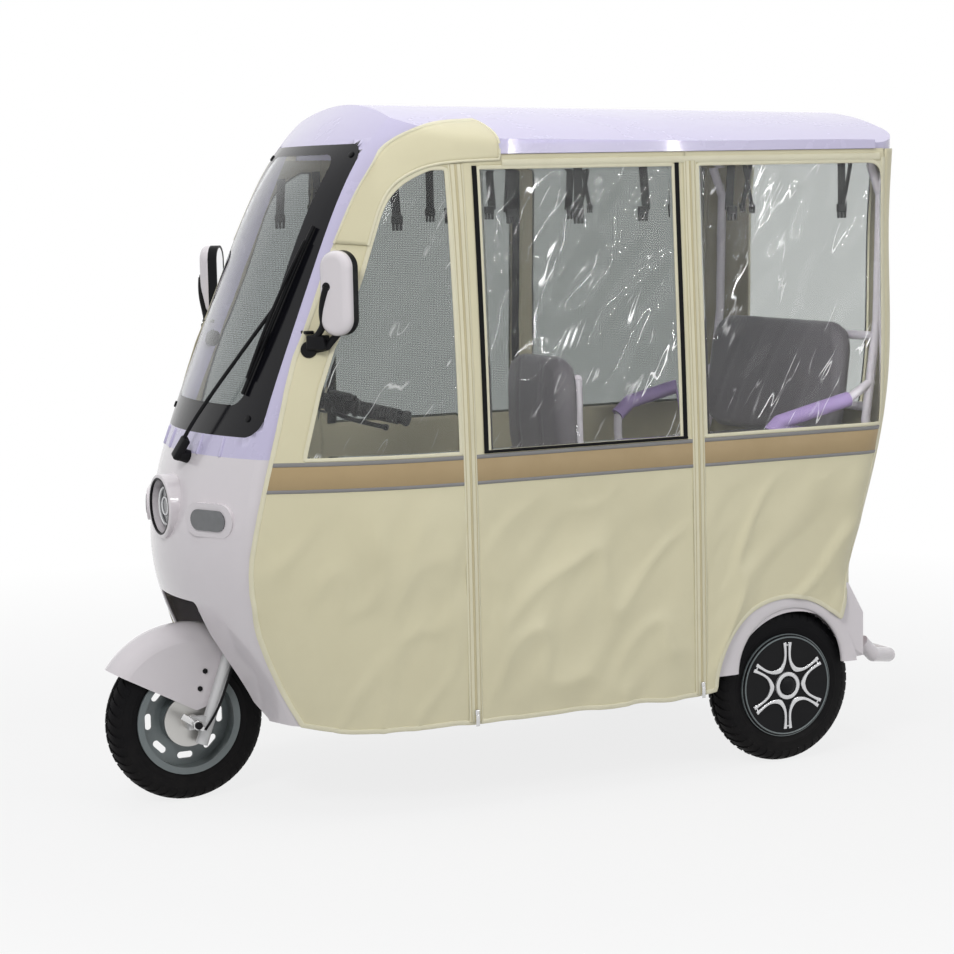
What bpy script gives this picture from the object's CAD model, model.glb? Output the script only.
"""Looks of a covered electric tricycle: finishes, cloth cover, wheels, seats and fittings.

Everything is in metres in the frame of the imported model: forward is -Y, the left side is +X and the
ground is z = 0. A station is a distance in millimetres ahead of the rear axle.
"""

import logging
import math
from contextlib import contextmanager
from dataclasses import dataclass, field
from enum import Enum
from typing import Any, Iterable, Iterator, Sequence

import bpy
import numpy as np
from mathutils import Matrix, Vector, noise
from mathutils.bvhtree import BVHTree


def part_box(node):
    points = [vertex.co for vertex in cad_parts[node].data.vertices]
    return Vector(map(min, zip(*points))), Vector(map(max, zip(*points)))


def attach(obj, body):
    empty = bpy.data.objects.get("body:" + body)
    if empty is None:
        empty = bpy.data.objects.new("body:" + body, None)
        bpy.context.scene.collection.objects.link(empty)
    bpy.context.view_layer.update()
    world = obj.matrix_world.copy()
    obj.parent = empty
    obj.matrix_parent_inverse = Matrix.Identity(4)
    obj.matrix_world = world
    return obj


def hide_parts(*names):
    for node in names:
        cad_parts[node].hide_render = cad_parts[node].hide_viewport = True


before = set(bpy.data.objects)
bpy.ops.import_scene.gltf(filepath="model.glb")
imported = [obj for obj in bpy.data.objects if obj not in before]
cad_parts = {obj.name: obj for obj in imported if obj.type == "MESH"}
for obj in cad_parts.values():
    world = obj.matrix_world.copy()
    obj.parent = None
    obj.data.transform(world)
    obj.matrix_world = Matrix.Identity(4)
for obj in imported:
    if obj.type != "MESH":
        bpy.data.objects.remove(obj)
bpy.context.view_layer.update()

log = logging.getLogger("tricycle")
logging.basicConfig(level=logging.INFO, format="%(message)s")

Point = tuple[float, float, float]
Flat = tuple[float, float]
Colour = tuple[float, float, float]
Inputs = dict[str | int, Any]

REAR_AXLE_Y = 0.6685
AXLE_HEIGHT = 0.207
HALF_TRACK = 0.417
MIRROR_X = Matrix.Scale(-1, 4, (1, 0, 0))
UPRIGHT_WHEEL = Matrix.Rotation(math.radians(90), 4, "Y")
# Rear edge of the cover, as stations and heights in millimetres
REAR_EDGE = (
    (-155, 376), (-183, 454), (-215, 549), (-241, 655), (-281, 793), (-302, 899), (-322, 1512), (-324, 1622),
)


def ahead(station: float) -> float:
    """Y of a station."""
    return REAR_AXLE_Y - station / 1000.0


class Side(Enum):
    """Sides of the vehicle, with the sign of their X."""

    LEFT = 1
    RIGHT = -1


# Materials


class Wiring:
    """Adds nodes to a tree, each with its values and links in one step."""

    def __init__(self, tree: bpy.types.NodeTree) -> None:
        """Takes the tree to wire."""
        self.tree = tree

    def feed(self, node: bpy.types.Node, inputs: Inputs) -> None:
        """Links a node's inputs to sockets or sets their values."""
        for key, value in inputs.items():
            if isinstance(value, bpy.types.NodeSocket):
                self.tree.links.new(value, node.inputs[key])
            else:
                node.inputs[key].default_value = value

    def add(self, kind: str, inputs: Inputs, **settings: Any) -> Any:
        """Adds a node.

        Args:
            kind: the node's type without its first words.
            inputs: sockets or values by the name or number of the input.
            settings: the node's own properties.

        Returns:
            The outputs of the node.
        """
        made = self.tree.nodes.new(f"ShaderNode{kind}")
        for setting, value in settings.items():
            setattr(made, setting, value)
        self.feed(made, inputs)
        return made.outputs

    def group(self, name: str, inputs: Inputs) -> Any:
        """Places a shared group with its own values and returns its outputs."""
        return self.add("Group", inputs, node_tree=GROUPS.get(name))

    def place(self) -> bpy.types.NodeSocket:
        """Object coordinates."""
        return self.add("TexCoord", {})["Object"]

    def sum(self, operation: str, first: Any, second: Any = 0.0) -> bpy.types.NodeSocket:
        """Result of one step of arithmetic."""
        return self.add("Math", {0: first, 1: second}, operation=operation)[0]

    def mix(self, share: Any, first: Any, second: Any) -> bpy.types.NodeSocket:
        """A colour between two colours."""
        return self.add("Mix", {"Factor": share, "A": first, "B": second}, data_type="RGBA")["Result"]

    def remap(self, value: Any, old: tuple[Any, Any], new: tuple[Any, Any]) -> bpy.types.NodeSocket:
        """A value moved from one range to another."""
        ends = {"From Min": old[0], "From Max": old[1], "To Min": new[0], "To Max": new[1]}
        return self.add("MapRange", {"Value": value, **ends})["Result"]

    def blend(self, share: Any, first: Any, second: Any, output: str) -> None:
        """Shows one of two shaders on the output node."""
        both = self.add("MixShader", {"Fac": share, 1: first, 2: second})
        self.feed(self.tree.nodes[output], {"Surface": both["Shader"]})


class NodeGroups:
    """Builds each shared shader group once and hands it out by name."""

    def __init__(self) -> None:
        """Starts with no groups built."""
        self.built: dict[str, bpy.types.NodeTree] = {}

    def get(self, name: str) -> bpy.types.NodeTree:
        """Returns the named group, building it on first use."""
        if name not in self.built:
            self.built[name] = getattr(self, f"_{name}")()
        return self.built[name]

    @staticmethod
    def _start(
        name: str, inputs: dict[str, Any], outputs: Sequence[str]
    ) -> tuple[Wiring, Any, bpy.types.Node]:
        """Makes an empty group with sockets.

        Args:
            name: the group's name.
            inputs: the inputs' default values, each a number or a colour.
            outputs: the outputs' names, of which Colour is a colour and the others are numbers.

        Returns:
            The group's wiring, its inputs by name and its output node.
        """
        tree = bpy.data.node_groups.new(name, "ShaderNodeTree")
        for label, default in inputs.items():
            kind = "NodeSocketColor" if isinstance(default, tuple) else "NodeSocketFloat"
            tree.interface.new_socket(name=label, in_out="INPUT", socket_type=kind).default_value = default
        for label in outputs:
            kind = "NodeSocketColor" if label == "Colour" else "NodeSocketFloat"
            tree.interface.new_socket(name=label, in_out="OUTPUT", socket_type=kind)
        return Wiring(tree), tree.nodes.new("NodeGroupInput").outputs, tree.nodes.new("NodeGroupOutput")

    def _tone(self) -> bpy.types.NodeTree:
        """Slow colour change over a surface, with a mask for roughness."""
        defaults = {"Colour": (0.8, 0.8, 0.8, 1), "Darker": (0.5, 0.5, 0.5, 1), "Scale": 6.0, "Amount": 0.3}
        wiring, given, end = self._start("tone", defaults, ("Colour", "Mask"))
        cloud = wiring.add(
            "TexNoise", {"Vector": wiring.place(), "Scale": given["Scale"], "Detail": 6, "Roughness": 0.62}
        )
        mask = wiring.remap(cloud["Fac"], (0.38, 0.68), (0.0, 1.0))
        weight = wiring.sum("MULTIPLY", mask, given["Amount"])
        wiring.feed(end, {"Colour": wiring.mix(weight, given["Colour"], given["Darker"]), "Mask": mask})
        return wiring.tree

    def _grain(self) -> bpy.types.NodeTree:
        """Fine moulded grain as a height."""
        wiring, given, end = self._start("grain", {"Scale": 700.0}, ("Height",))
        pattern = {"Vector": wiring.place(), "Scale": given["Scale"]}
        cells = wiring.add("TexVoronoi", pattern, feature="SMOOTH_F1")
        wiring.feed(end, {"Height": cells["Distance"]})
        return wiring.tree

    def _weave(self) -> bpy.types.NodeTree:
        """Plain weave of threads on the Y-Z plane, as a height."""
        wiring, given, end = self._start("weave", {"Scale": 900.0}, ("Height",))
        thread = {"Vector": wiring.place(), "Scale": given["Scale"], "Distortion": 0.4, "Detail Scale": 2.0}
        waves = [wiring.add("TexWave", thread, wave_type="BANDS", bands_direction=way)["Fac"] for way in "YZ"]
        wiring.feed(end, {"Height": wiring.sum("MULTIPLY", *waves)})
        return wiring.tree

    def _creases(self) -> bpy.types.NodeTree:
        """Short slanting crease lines on the Y-Z plane, as a mask."""
        wiring, given, end = self._start("creases", {"Width": 0.012, "Cover": 0.54}, ("Mask",))
        where = wiring.place()
        slant = wiring.add("Mapping", {"Vector": where, "Rotation": (math.radians(-58), 0, 0)})
        stretch = wiring.add("Mapping", {"Vector": slant["Vector"], "Scale": (1.0, 2.6, 17.0)})
        lines = wiring.add(
            "TexNoise", {"Vector": stretch["Vector"], "Scale": 1.0, "Detail": 2.5, "Distortion": 0.5}
        )
        patches = wiring.add("TexNoise", {"Vector": where, "Scale": 9.0, "Detail": 2.0})
        offset = wiring.sum("ABSOLUTE", wiring.sum("SUBTRACT", lines["Fac"], 0.5))
        thin = wiring.remap(offset, (0.0, given["Width"]), (1.0, 0.0))
        keep = wiring.remap(patches["Fac"], (given["Cover"], 0.68), (0.0, 1.0))
        wiring.feed(end, {"Mask": wiring.sum("MULTIPLY", thin, keep)})
        return wiring.tree

    def _road_dust(self) -> bpy.types.NodeTree:
        """Dust that thickens towards the ground, as a mask."""
        wiring, given, end = self._start("road_dust", {"Top": 0.45, "Amount": 0.3}, ("Mask",))
        where = wiring.place()
        height = wiring.add("SeparateXYZ", {"Vector": where})["Z"]
        fade = wiring.remap(height, (0.0, given["Top"]), (1.0, 0.0))
        cloud = wiring.add("TexNoise", {"Vector": where, "Scale": 34, "Detail": 8})
        patchy = wiring.sum("MULTIPLY", fade, cloud["Fac"])
        wiring.feed(end, {"Mask": wiring.sum("MULTIPLY", patchy, given["Amount"])})
        return wiring.tree


GROUPS = NodeGroups()


def start_material(name: str) -> tuple[bpy.types.Material, Wiring, bpy.types.Node]:
    """A new material, its wiring and its Principled shader."""
    made = bpy.data.materials.new(name)
    made.use_nodes = True
    return made, Wiring(made.node_tree), made.node_tree.nodes["Principled BSDF"]


class Texture(Enum):
    """Surface structure that a finish shows, by the name of its group."""

    SMOOTH = "smooth"
    GRAIN = "grain"
    WEAVE = "weave"


@dataclass(frozen=True)
class Finish:
    """One opaque finish and how it varies over a surface."""

    name: str
    colour: Colour
    darker: Colour
    roughness: float = 0.5
    rougher: float = 0.6
    metallic: float = 0.0
    coat: float = 0.0
    coat_roughness: float = 0.05
    specular: float = 0.5
    sheen: float = 0.0
    tone_scale: float = 6.0
    tone: float = 0.35
    texture: Texture = Texture.SMOOTH
    texture_scale: float = 700.0
    bump: float = 0.1
    bump_depth: float = 0.0004
    dust: float = 0.0
    dust_top: float = 0.45
    dust_colour: Colour = (0.42, 0.38, 0.33)

    def material(self) -> bpy.types.Material:
        """Returns the finish as a material, made on first use."""
        return bpy.data.materials.get(self.name) or self._made()

    def _made(self) -> bpy.types.Material:
        """Wires the finish as a new material."""
        made, wiring, shader = start_material(self.name)
        tone = wiring.group("tone", {
            "Colour": (*self.colour, 1),
            "Darker": (*self.darker, 1),
            "Scale": self.tone_scale,
            "Amount": self.tone,
        })
        colour = tone["Colour"]
        if self.dust:
            dust = wiring.group("road_dust", {"Amount": self.dust, "Top": self.dust_top})
            colour = wiring.mix(dust["Mask"], colour, (*self.dust_colour, 1))
        wiring.feed(shader, {
            "Base Color": colour,
            "Roughness": wiring.remap(tone["Mask"], (0.0, 1.0), (self.roughness, self.rougher)),
            "Metallic": self.metallic,
            "Specular IOR Level": self.specular,
            "Coat Weight": self.coat,
            "Coat Roughness": self.coat_roughness,
            "Sheen Weight": self.sheen,
        })
        if self.texture is not Texture.SMOOTH:
            relief = wiring.group(self.texture.value, {"Scale": self.texture_scale})
            settings = {"Height": relief["Height"], "Strength": self.bump, "Distance": self.bump_depth}
            wiring.feed(shader, {"Normal": wiring.add("Bump", settings)["Normal"]})
        return made


@dataclass(frozen=True)
class ClearFinish:
    """A see-through finish that lets light through to what is behind it."""

    name: str
    colour: Colour
    roughness: float = 0.03
    ior: float = 1.45
    haze: float = 0.0
    threads: float = 0.0
    creases: float = 0.0
    crease_roughness: float = 0.6
    crease_coat_ior: float = 4.0
    crease_coat_roughness: float = 0.2

    def material(self) -> bpy.types.Material:
        """Returns the finish as a material, made on first use."""
        return bpy.data.materials.get(self.name) or self._made()

    def _made(self) -> bpy.types.Material:
        """Wires the finish as a new material."""
        made, wiring, shader = start_material(self.name)
        colour = (*self.colour, 1)
        wiring.feed(shader, {
            "Base Color": colour,
            "Roughness": self.roughness,
            "IOR": self.ior,
            "Transmission Weight": 1.0 - self.haze,
        })
        if self.threads:
            weave = wiring.group("weave", {"Scale": self.threads})
            gap = (*(0.45 * c for c in self.colour), 1)
            thread = (*(min(1.0, 1.5 * c) for c in self.colour), 1)
            wiring.feed(shader, {"Base Color": wiring.mix(weave["Height"], gap, thread)})
        if self.creases:
            mask = wiring.group("creases", {"Width": self.creases})["Mask"]
            wiring.feed(shader, {
                "Base Color": wiring.mix(mask, colour, (1, 1, 1, 1)),
                "Roughness": wiring.remap(mask, (0.0, 1.0), (self.roughness, self.crease_roughness)),
                "Coat Weight": mask,
                "Coat IOR": self.crease_coat_ior,
                "Coat Roughness": self.crease_coat_roughness,
            })
        clear = wiring.add("BsdfTransparent", {"Color": colour})
        shadow = wiring.add("LightPath", {})["Is Shadow Ray"]
        wiring.blend(shadow, shader.outputs["BSDF"], clear["BSDF"], "Material Output")
        return made


BODY_WHITE = Finish(
    "body_white_paint", (0.76, 0.715, 0.735), (0.71, 0.665, 0.685), 0.2, 0.26, coat=0.6, dust=0.12,
)
BODY_LILAC = Finish(
    "body_lilac_paint", (0.60, 0.56, 0.76), (0.56, 0.52, 0.72), 0.22, 0.3, coat=0.4, tone=0.12,
)
BLACK_BORDER = Finish(
    "screen_border_print", (0.005, 0.005, 0.007), (0.009, 0.009, 0.011), 0.14, 0.2, specular=0.22,
)
BLACK_PLASTIC = Finish(
    "black_plastic", (0.006, 0.006, 0.007), (0.013, 0.013, 0.014), 0.38, 0.5, specular=0.14,
    texture=Texture.GRAIN, bump=0.15,
)
DARK_STEEL = Finish("chassis_paint", (0.018, 0.018, 0.019), (0.05, 0.047, 0.042), 0.42, 0.6, dust=0.5)
SILVER_PAINT = Finish("silver_paint", (0.58, 0.58, 0.58), (0.42, 0.42, 0.41), 0.3, 0.42, 0.35, dust=0.3)
CAST_ALLOY = Finish(
    "cast_alloy", (0.50, 0.49, 0.47), (0.30, 0.29, 0.27), 0.42, 0.6, 0.8, tone_scale=30, tone=0.6,
    texture=Texture.GRAIN, texture_scale=900, bump=0.2,
)
BRIGHT_STEEL = Finish("bright_steel", (0.66, 0.66, 0.66), (0.5, 0.5, 0.5), 0.2, 0.32, 1.0)
RIM_GREY = Finish(
    "rim_grey_paint", (0.16, 0.19, 0.195), (0.10, 0.12, 0.125), 0.32, 0.45, 0.2, coat=0.2, dust=0.15,
)
TYRE_RUBBER = Finish(
    "tyre_rubber", (0.004, 0.004, 0.005), (0.009, 0.009, 0.010), 0.46, 0.66, specular=0.08, tone_scale=18,
    texture=Texture.GRAIN, texture_scale=500, bump=0.18, dust=0.035, dust_top=0.42,
)
PALE_TUBE = Finish("pale_tube_paint", (0.70, 0.65, 0.71), (0.64, 0.59, 0.66), 0.25, 0.32, coat=0.4)
PURPLE_FOAM = Finish(
    "purple_foam", (0.25, 0.18, 0.42), (0.20, 0.14, 0.34), 0.65, 0.8,
    texture=Texture.GRAIN, texture_scale=380, bump=0.4,
)
SEAT_GREY = Finish(
    "seat_leatherette", (0.150, 0.138, 0.152), (0.115, 0.105, 0.118), 0.42, 0.55, specular=0.3, sheen=0.1,
    texture=Texture.GRAIN, texture_scale=420, bump=0.35,
)
CREAM_CLOTH = Finish(
    "cream_cloth", (0.735, 0.685, 0.470), (0.67, 0.62, 0.415), 0.46, 0.58, tone_scale=3.2, tone=0.45,
    texture=Texture.WEAVE, texture_scale=420, bump=0.12, sheen=0.15, dust=0.14, dust_top=0.5,
)
CLOTH_BACKING = Finish(
    "cloth_backing", (0.36, 0.33, 0.235), (0.29, 0.265, 0.185), 0.6, 0.7, specular=0.2, tone_scale=3.2,
    texture=Texture.WEAVE, texture_scale=420, bump=0.12,
)
CREAM_BINDING = Finish(
    "cream_binding", (0.78, 0.74, 0.55), (0.70, 0.66, 0.48), 0.5, 0.62, tone_scale=14,
    texture=Texture.WEAVE, texture_scale=700, bump=0.2,
)
TAN_BAND = Finish(
    "tan_band", (0.43, 0.315, 0.165), (0.37, 0.27, 0.14), 0.5, 0.62, tone_scale=8,
    texture=Texture.WEAVE, texture_scale=420, bump=0.15, sheen=0.1,
)
GREY_PIPING = Finish(
    "grey_piping", (0.26, 0.255, 0.25), (0.2, 0.2, 0.2), 0.4, 0.5, specular=0.3, texture=Texture.WEAVE,
)
BLACK_WEBBING = Finish(
    "black_webbing", (0.006, 0.006, 0.007), (0.012, 0.012, 0.013), 0.6, 0.75, specular=0.12,
    texture=Texture.WEAVE, texture_scale=600, bump=0.5,
)
RED_LENS = Finish("red_lens", (0.42, 0.012, 0.012), (0.30, 0.008, 0.008), 0.12, 0.18, coat=0.6)
MIRROR_SILVER = Finish("mirror_silver", (0.85, 0.85, 0.86), (0.8, 0.8, 0.82), 0.02, 0.03, 1.0)
LENS_GREY = Finish(
    "lamp_lens", (0.15, 0.155, 0.16), (0.09, 0.093, 0.097), 0.12, 0.2, 0.3, coat=0.5, tone_scale=40,
)
SILVER_TRIM = Finish("silver_trim", (0.72, 0.72, 0.73), (0.62, 0.62, 0.63), 0.22, 0.3, 0.6, coat=0.3)
GRIP_RUBBER = Finish("grip_rubber", (0.006, 0.006, 0.007), (0.012, 0.012, 0.013), 0.55, 0.7, specular=0.12)
DISPLAY_GLASS = Finish("display_glass", (0.004, 0.006, 0.008), (0.008, 0.010, 0.012), 0.05, 0.08, coat=1.0)
ZIP_COIL = Finish("zip_coil", (0.60, 0.53, 0.33), (0.5, 0.44, 0.27), 0.4, 0.5)
SCREEN_CLEAR = ClearFinish("screen_clear", (0.80, 0.82, 0.83), 0.01, 1.25)
PANE_CLEAR = ClearFinish("pane_clear", (0.90, 0.91, 0.90), 0.03, 1.18, 0.02, creases=0.014)
PANE_SMOKE = ClearFinish("pane_smoke", (0.55, 0.57, 0.56), 0.05, 1.18, 0.05)
PANE_MESH = ClearFinish("pane_mesh", (0.36, 0.385, 0.375), 0.08, 1.18, 0.06, threads=62.0)

NODE_FINISHES = {
    BODY_WHITE: (
        "nose_shell", "front_fender", "rear_body", "dash_panel", "dash_cowl", "rear_bumper", "headlamp_bezel",
        "indicator_bezels", "mirror_caps",
    ),
    BODY_LILAC: ("windscreen_surround", "roof_panel"),
    BLACK_BORDER: ("windscreen_border",),
    SCREEN_CLEAR: ("windscreen_glass",),
    LENS_GREY: ("headlamp_lens", "indicator_lenses"),
    RED_LENS: ("tail_lamps",),
    MIRROR_SILVER: ("mirror_glasses",),
    BLACK_PLASTIC: (
        "mirror_housings", "floor_mat", "floor_pan", "leg_shield", "battery_box", "bench_base", "hubcap_left",
        "hubcap_right", "grips",
    ),
    CREAM_CLOTH: ("cover_fronts", "cover_doors", "cover_rears", "cover_back"),
    PANE_CLEAR: ("side_panes", "back_pane"),
    DARK_STEEL: ("chassis_frame", "rear_axle", "leaf_springs", "handlebar"),
    PALE_TUBE: ("cabin_frame", "driver_frame"),
    PURPLE_FOAM: ("armrest_sleeves",),
    SEAT_GREY: ("driver_cushion", "driver_backrest", "bench_cushion", "bench_backrest"),
    SILVER_PAINT: ("fork",),
    CAST_ALLOY: ("brake_plate",),
    TYRE_RUBBER: ("front_tyre", "rear_tyre_left", "rear_tyre_right"),
    RIM_GREY: ("front_rim", "rear_rim_left", "rear_rim_right"),
}


def dress_nodes() -> None:
    """Gives every CAD node its finish."""
    for finish, names in NODE_FINISHES.items():
        for name in names:
            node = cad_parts[name]
            node.data.materials.clear()
            node.data.materials.append(finish.material())
    log.info("dressed %d nodes", len(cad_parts))


# Steps shared by cloth and hard pieces


def deselect() -> None:
    """Deselects everything."""
    bpy.ops.object.select_all(action="DESELECT")


def pick(made: bpy.types.Object) -> None:
    """Makes one object selected and active."""
    deselect()
    made.select_set(True)
    bpy.context.view_layer.objects.active = made


def enter(made: bpy.types.Object) -> bpy.types.Object:
    """Puts a new object in the scene, selected and active."""
    bpy.context.scene.collection.objects.link(made)
    pick(made)
    return made


def from_points(name: str, corners: Sequence, edges: Sequence = (), faces: Sequence = ()) -> bpy.types.Object:
    """A new object from the corners, edges and faces of its mesh."""
    mesh = bpy.data.meshes.new(name)
    mesh.from_pydata(corners, edges, faces)
    return enter(bpy.data.objects.new(name, mesh))


def duplicate(made: bpy.types.Object) -> bpy.types.Object:
    """A copy of an object with its own mesh."""
    other = made.copy()
    other.data = made.data.copy()
    return enter(other)


@contextmanager
def editing(made: bpy.types.Object) -> Iterator[None]:
    """Edit mode on one object, with all of its mesh selected."""
    pick(made)
    bpy.ops.object.mode_set(mode="EDIT")
    bpy.ops.mesh.select_all(action="SELECT")
    yield
    bpy.ops.object.mode_set(mode="OBJECT")


def face_outwards() -> None:
    """Turns all faces outwards in edit mode."""
    bpy.ops.mesh.select_all(action="SELECT")
    bpy.ops.mesh.normals_make_consistent(inside=False)


def apply_step(made: bpy.types.Object, kind: str, **settings: Any) -> None:
    """Adds a modifier to an object and applies it."""
    pick(made)
    step = made.modifiers.new(kind.lower(), kind)
    for setting, value in settings.items():
        setattr(step, setting, value)
    bpy.ops.object.modifier_apply(modifier=step.name)


def surface_tree(names: Iterable[str]) -> BVHTree:
    """The surface of some CAD nodes, to be met by rays."""
    corners, polygons = [], []
    for name in names:
        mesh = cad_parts[name].data
        base = len(corners)
        corners += [v.co.copy() for v in mesh.vertices]
        polygons += [[base + i for i in p.vertices] for p in mesh.polygons]
    return BVHTree.FromPolygons(corners, polygons)


# Cloth cover


def share_along(points: np.ndarray, shares: np.ndarray) -> np.ndarray:
    """Points at the given shares of a polyline's length."""
    steps = np.linalg.norm(np.diff(points, axis=0), axis=1)
    run = np.concatenate([[0.0], np.cumsum(steps)]) / steps.sum()
    return np.stack([np.interp(shares, run, points[:, axis]) for axis in range(points.shape[1])], axis=1)


def rounded(points: Sequence[Sequence[float]], rounds: int = 2) -> np.ndarray:
    """Cuts the corners of a polyline and keeps its two ends."""
    line = np.asarray(points, float)
    for _ in range(rounds):
        near = 0.75 * line[:-1] + 0.25 * line[1:]
        far = 0.25 * line[:-1] + 0.75 * line[1:]
        inner = np.stack([near, far], 1).reshape(-1, line.shape[1])[1:-1]
        line = np.concatenate([line[:1], inner, line[-1:]])
    return line


def stations(points: Sequence[Flat]) -> np.ndarray:
    """Turns stations and heights in millimetres into (y, z) in metres."""
    return np.array([(ahead(station), height / 1000.0) for station, height in points])


def cut_line(line: np.ndarray, low: float, high: float) -> np.ndarray:
    """The part of an upward polyline between two heights."""
    heights = line[:, 1]
    inside = line[(heights > low) & (heights < high)]
    ends = [(np.interp(z, heights, line[:, 0]), z) for z in (low, high)]
    return np.concatenate([[ends[0]], inside, [ends[1]]])


def length_of(line: np.ndarray) -> float:
    """Length of a polyline."""
    return np.linalg.norm(np.diff(line, axis=0), axis=1).sum()


def shares(count: int) -> np.ndarray:
    """Even steps from 0 to 1."""
    return np.linspace(0, 1, count)


def coons(
    bottom: np.ndarray, top: np.ndarray, front: np.ndarray, back: np.ndarray,
    across: np.ndarray, up: np.ndarray,
) -> np.ndarray:
    """Fills four edge lines with a grid of points.

    Args:
        bottom: lower edge, from front to back.
        top: upper edge, from front to back.
        front: front edge, upwards.
        back: back edge, upwards.
        across: shares along bottom and top.
        up: shares along front and back.

    Returns:
        Points by row and column.
    """
    low, high = share_along(bottom, across), share_along(top, across)
    fore, aft = share_along(front, up), share_along(back, up)
    u, v = across[None, :, None], up[:, None, None]
    ruled = (1 - v) * low[None] + v * high[None] + (1 - u) * fore[:, None] + u * aft[:, None]
    corners = (1 - u) * ((1 - v) * low[0] + v * high[0]) + u * ((1 - v) * low[-1] + v * high[-1])
    return ruled - corners


@dataclass
class CoverForm:
    """The cover's outer surface as a field of X over the side plane."""

    names: tuple[str, ...]
    step: float = 0.01
    start: Flat = (-0.86, 0.18)
    size: Flat = (1.92, 1.57)
    inmost: float = 0.2
    slope_reach: float = 0.012
    smoothings: int = 3
    tree: BVHTree = field(init=False)
    samples: np.ndarray = field(init=False)

    def __post_init__(self) -> None:
        """Samples the surface by rays along X."""
        self.tree = surface_tree(self.names)
        columns, rows = (int(extent / self.step) for extent in self.size)
        self.samples = np.full((rows, columns), np.nan)
        for row, column in np.ndindex(rows, columns):
            start = Vector((1.0, self.start[0] + column * self.step, self.start[1] + row * self.step))
            hit = self.tree.ray_cast(start, Vector((-1, 0, 0)))[0]
            if hit and hit.x > self.inmost:
                self.samples[row, column] = hit.x
        self._fill()
        self._smooth()

    @staticmethod
    def _around(padded: np.ndarray) -> list[np.ndarray]:
        """Neighbours of each sample: before and after it in its row, below and above it."""
        return [padded[1:-1, :-2], padded[1:-1, 2:], padded[:-2, 1:-1], padded[2:, 1:-1]]

    def _fill(self) -> None:
        """Fills the samples that met nothing from their neighbours."""
        while np.isnan(self.samples).any():
            around = np.stack(self._around(np.pad(self.samples, 1, constant_values=np.nan)))
            known = ~np.isnan(around)
            total, count = np.where(known, around, 0).sum(0), known.sum(0)
            fresh = np.isnan(self.samples) & (count > 0)
            self.samples[fresh] = total[fresh] / count[fresh]

    def _smooth(self) -> None:
        """Takes off small steps, along the rows and then along the columns."""
        for first in (0, 2) * self.smoothings:
            before, after = self._around(np.pad(self.samples, 1, mode="edge"))[first:first + 2]
            self.samples = (2 * self.samples + before + after) / 4

    def out(self, y: np.ndarray, z: np.ndarray) -> np.ndarray:
        """X of the surface over points of the side plane."""
        rows, columns = self.samples.shape
        column = np.clip((y - self.start[0]) / self.step, 0, columns - 1.001)
        row = np.clip((z - self.start[1]) / self.step, 0, rows - 1.001)
        c, r = column.astype(int), row.astype(int)
        fc, fr = column - c, row - r
        low = self.samples[r, c] * (1 - fc) + self.samples[r, c + 1] * fc
        high = self.samples[r + 1, c] * (1 - fc) + self.samples[r + 1, c + 1] * fc
        return low * (1 - fr) + high * fr

    def out_at(self, y: float, z: float) -> float:
        """X of the surface over one point of the side plane."""
        return float(self.out(np.array([y]), np.array([z]))[0])

    def lift(self, places: np.ndarray, height: np.ndarray | float) -> np.ndarray:
        """Points of the side plane raised onto the surface and out along its normal.

        Args:
            places: (..., 2) array of y and z.
            height: how far outside the surface.

        Returns:
            (..., 3) array of points on the left side.
        """
        y, z = places[..., 0], places[..., 1]
        reach = self.slope_reach
        x = self.out(y, z)
        slope_y = (self.out(y + reach, z) - self.out(y - reach, z)) / (2 * reach)
        slope_z = (self.out(y, z + reach) - self.out(y, z - reach)) / (2 * reach)
        normal = np.stack([np.ones_like(x), -slope_y, -slope_z], -1)
        normal /= np.linalg.norm(normal, axis=-1, keepdims=True)
        return np.stack([x, y, z], -1) + normal * np.asarray(height)[..., None]


@dataclass(frozen=True)
class Wrinkles:
    """Size and direction of the unevenness of a sheet."""

    depth: float
    along: float
    across: float
    turn: float
    crease: float
    seed: float

    def height(self, places: np.ndarray) -> np.ndarray:
        """Height of the sheet over points of a plane."""
        out = np.zeros(places.shape[:-1])
        cosine, sine = math.cos(self.turn), math.sin(self.turn)
        for index in np.ndindex(out.shape):
            y, z = places[index]
            run, rise = (y * cosine + z * sine) * self.along, (z * cosine - y * sine) * self.across
            spot = Vector((run, rise, self.seed))
            soft = noise.noise(spot) + 0.4 * noise.noise(spot * 2.3)
            ridge = 1 - abs(noise.noise(spot * 1.4 + Vector((9.1, 3.7, 5.3))))
            out[index] = self.depth * ((1 - self.crease) * soft + self.crease * (ridge ** 5 - 0.3))
        return out


def fade_in(count: int, width: float, end: float = 0.0) -> np.ndarray:
    """Weights along a row that fall to 0 at its start and to end at its end."""
    share = shares(count)
    rise = np.clip(share / width, 0, 1)
    fall = np.clip((1 - share) / width, 0, 1)
    return np.minimum(rise, end + (1 - end) * fall)


def fade_edges(
    rows: int, columns: int, row_width: float, column_width: float, end: float = 0.0
) -> np.ndarray:
    """Weights over a grid that fall to 0 at its edges, and to end at its last column."""
    return fade_in(rows, row_width)[:, None] * fade_in(columns, column_width, end)[None]


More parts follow.
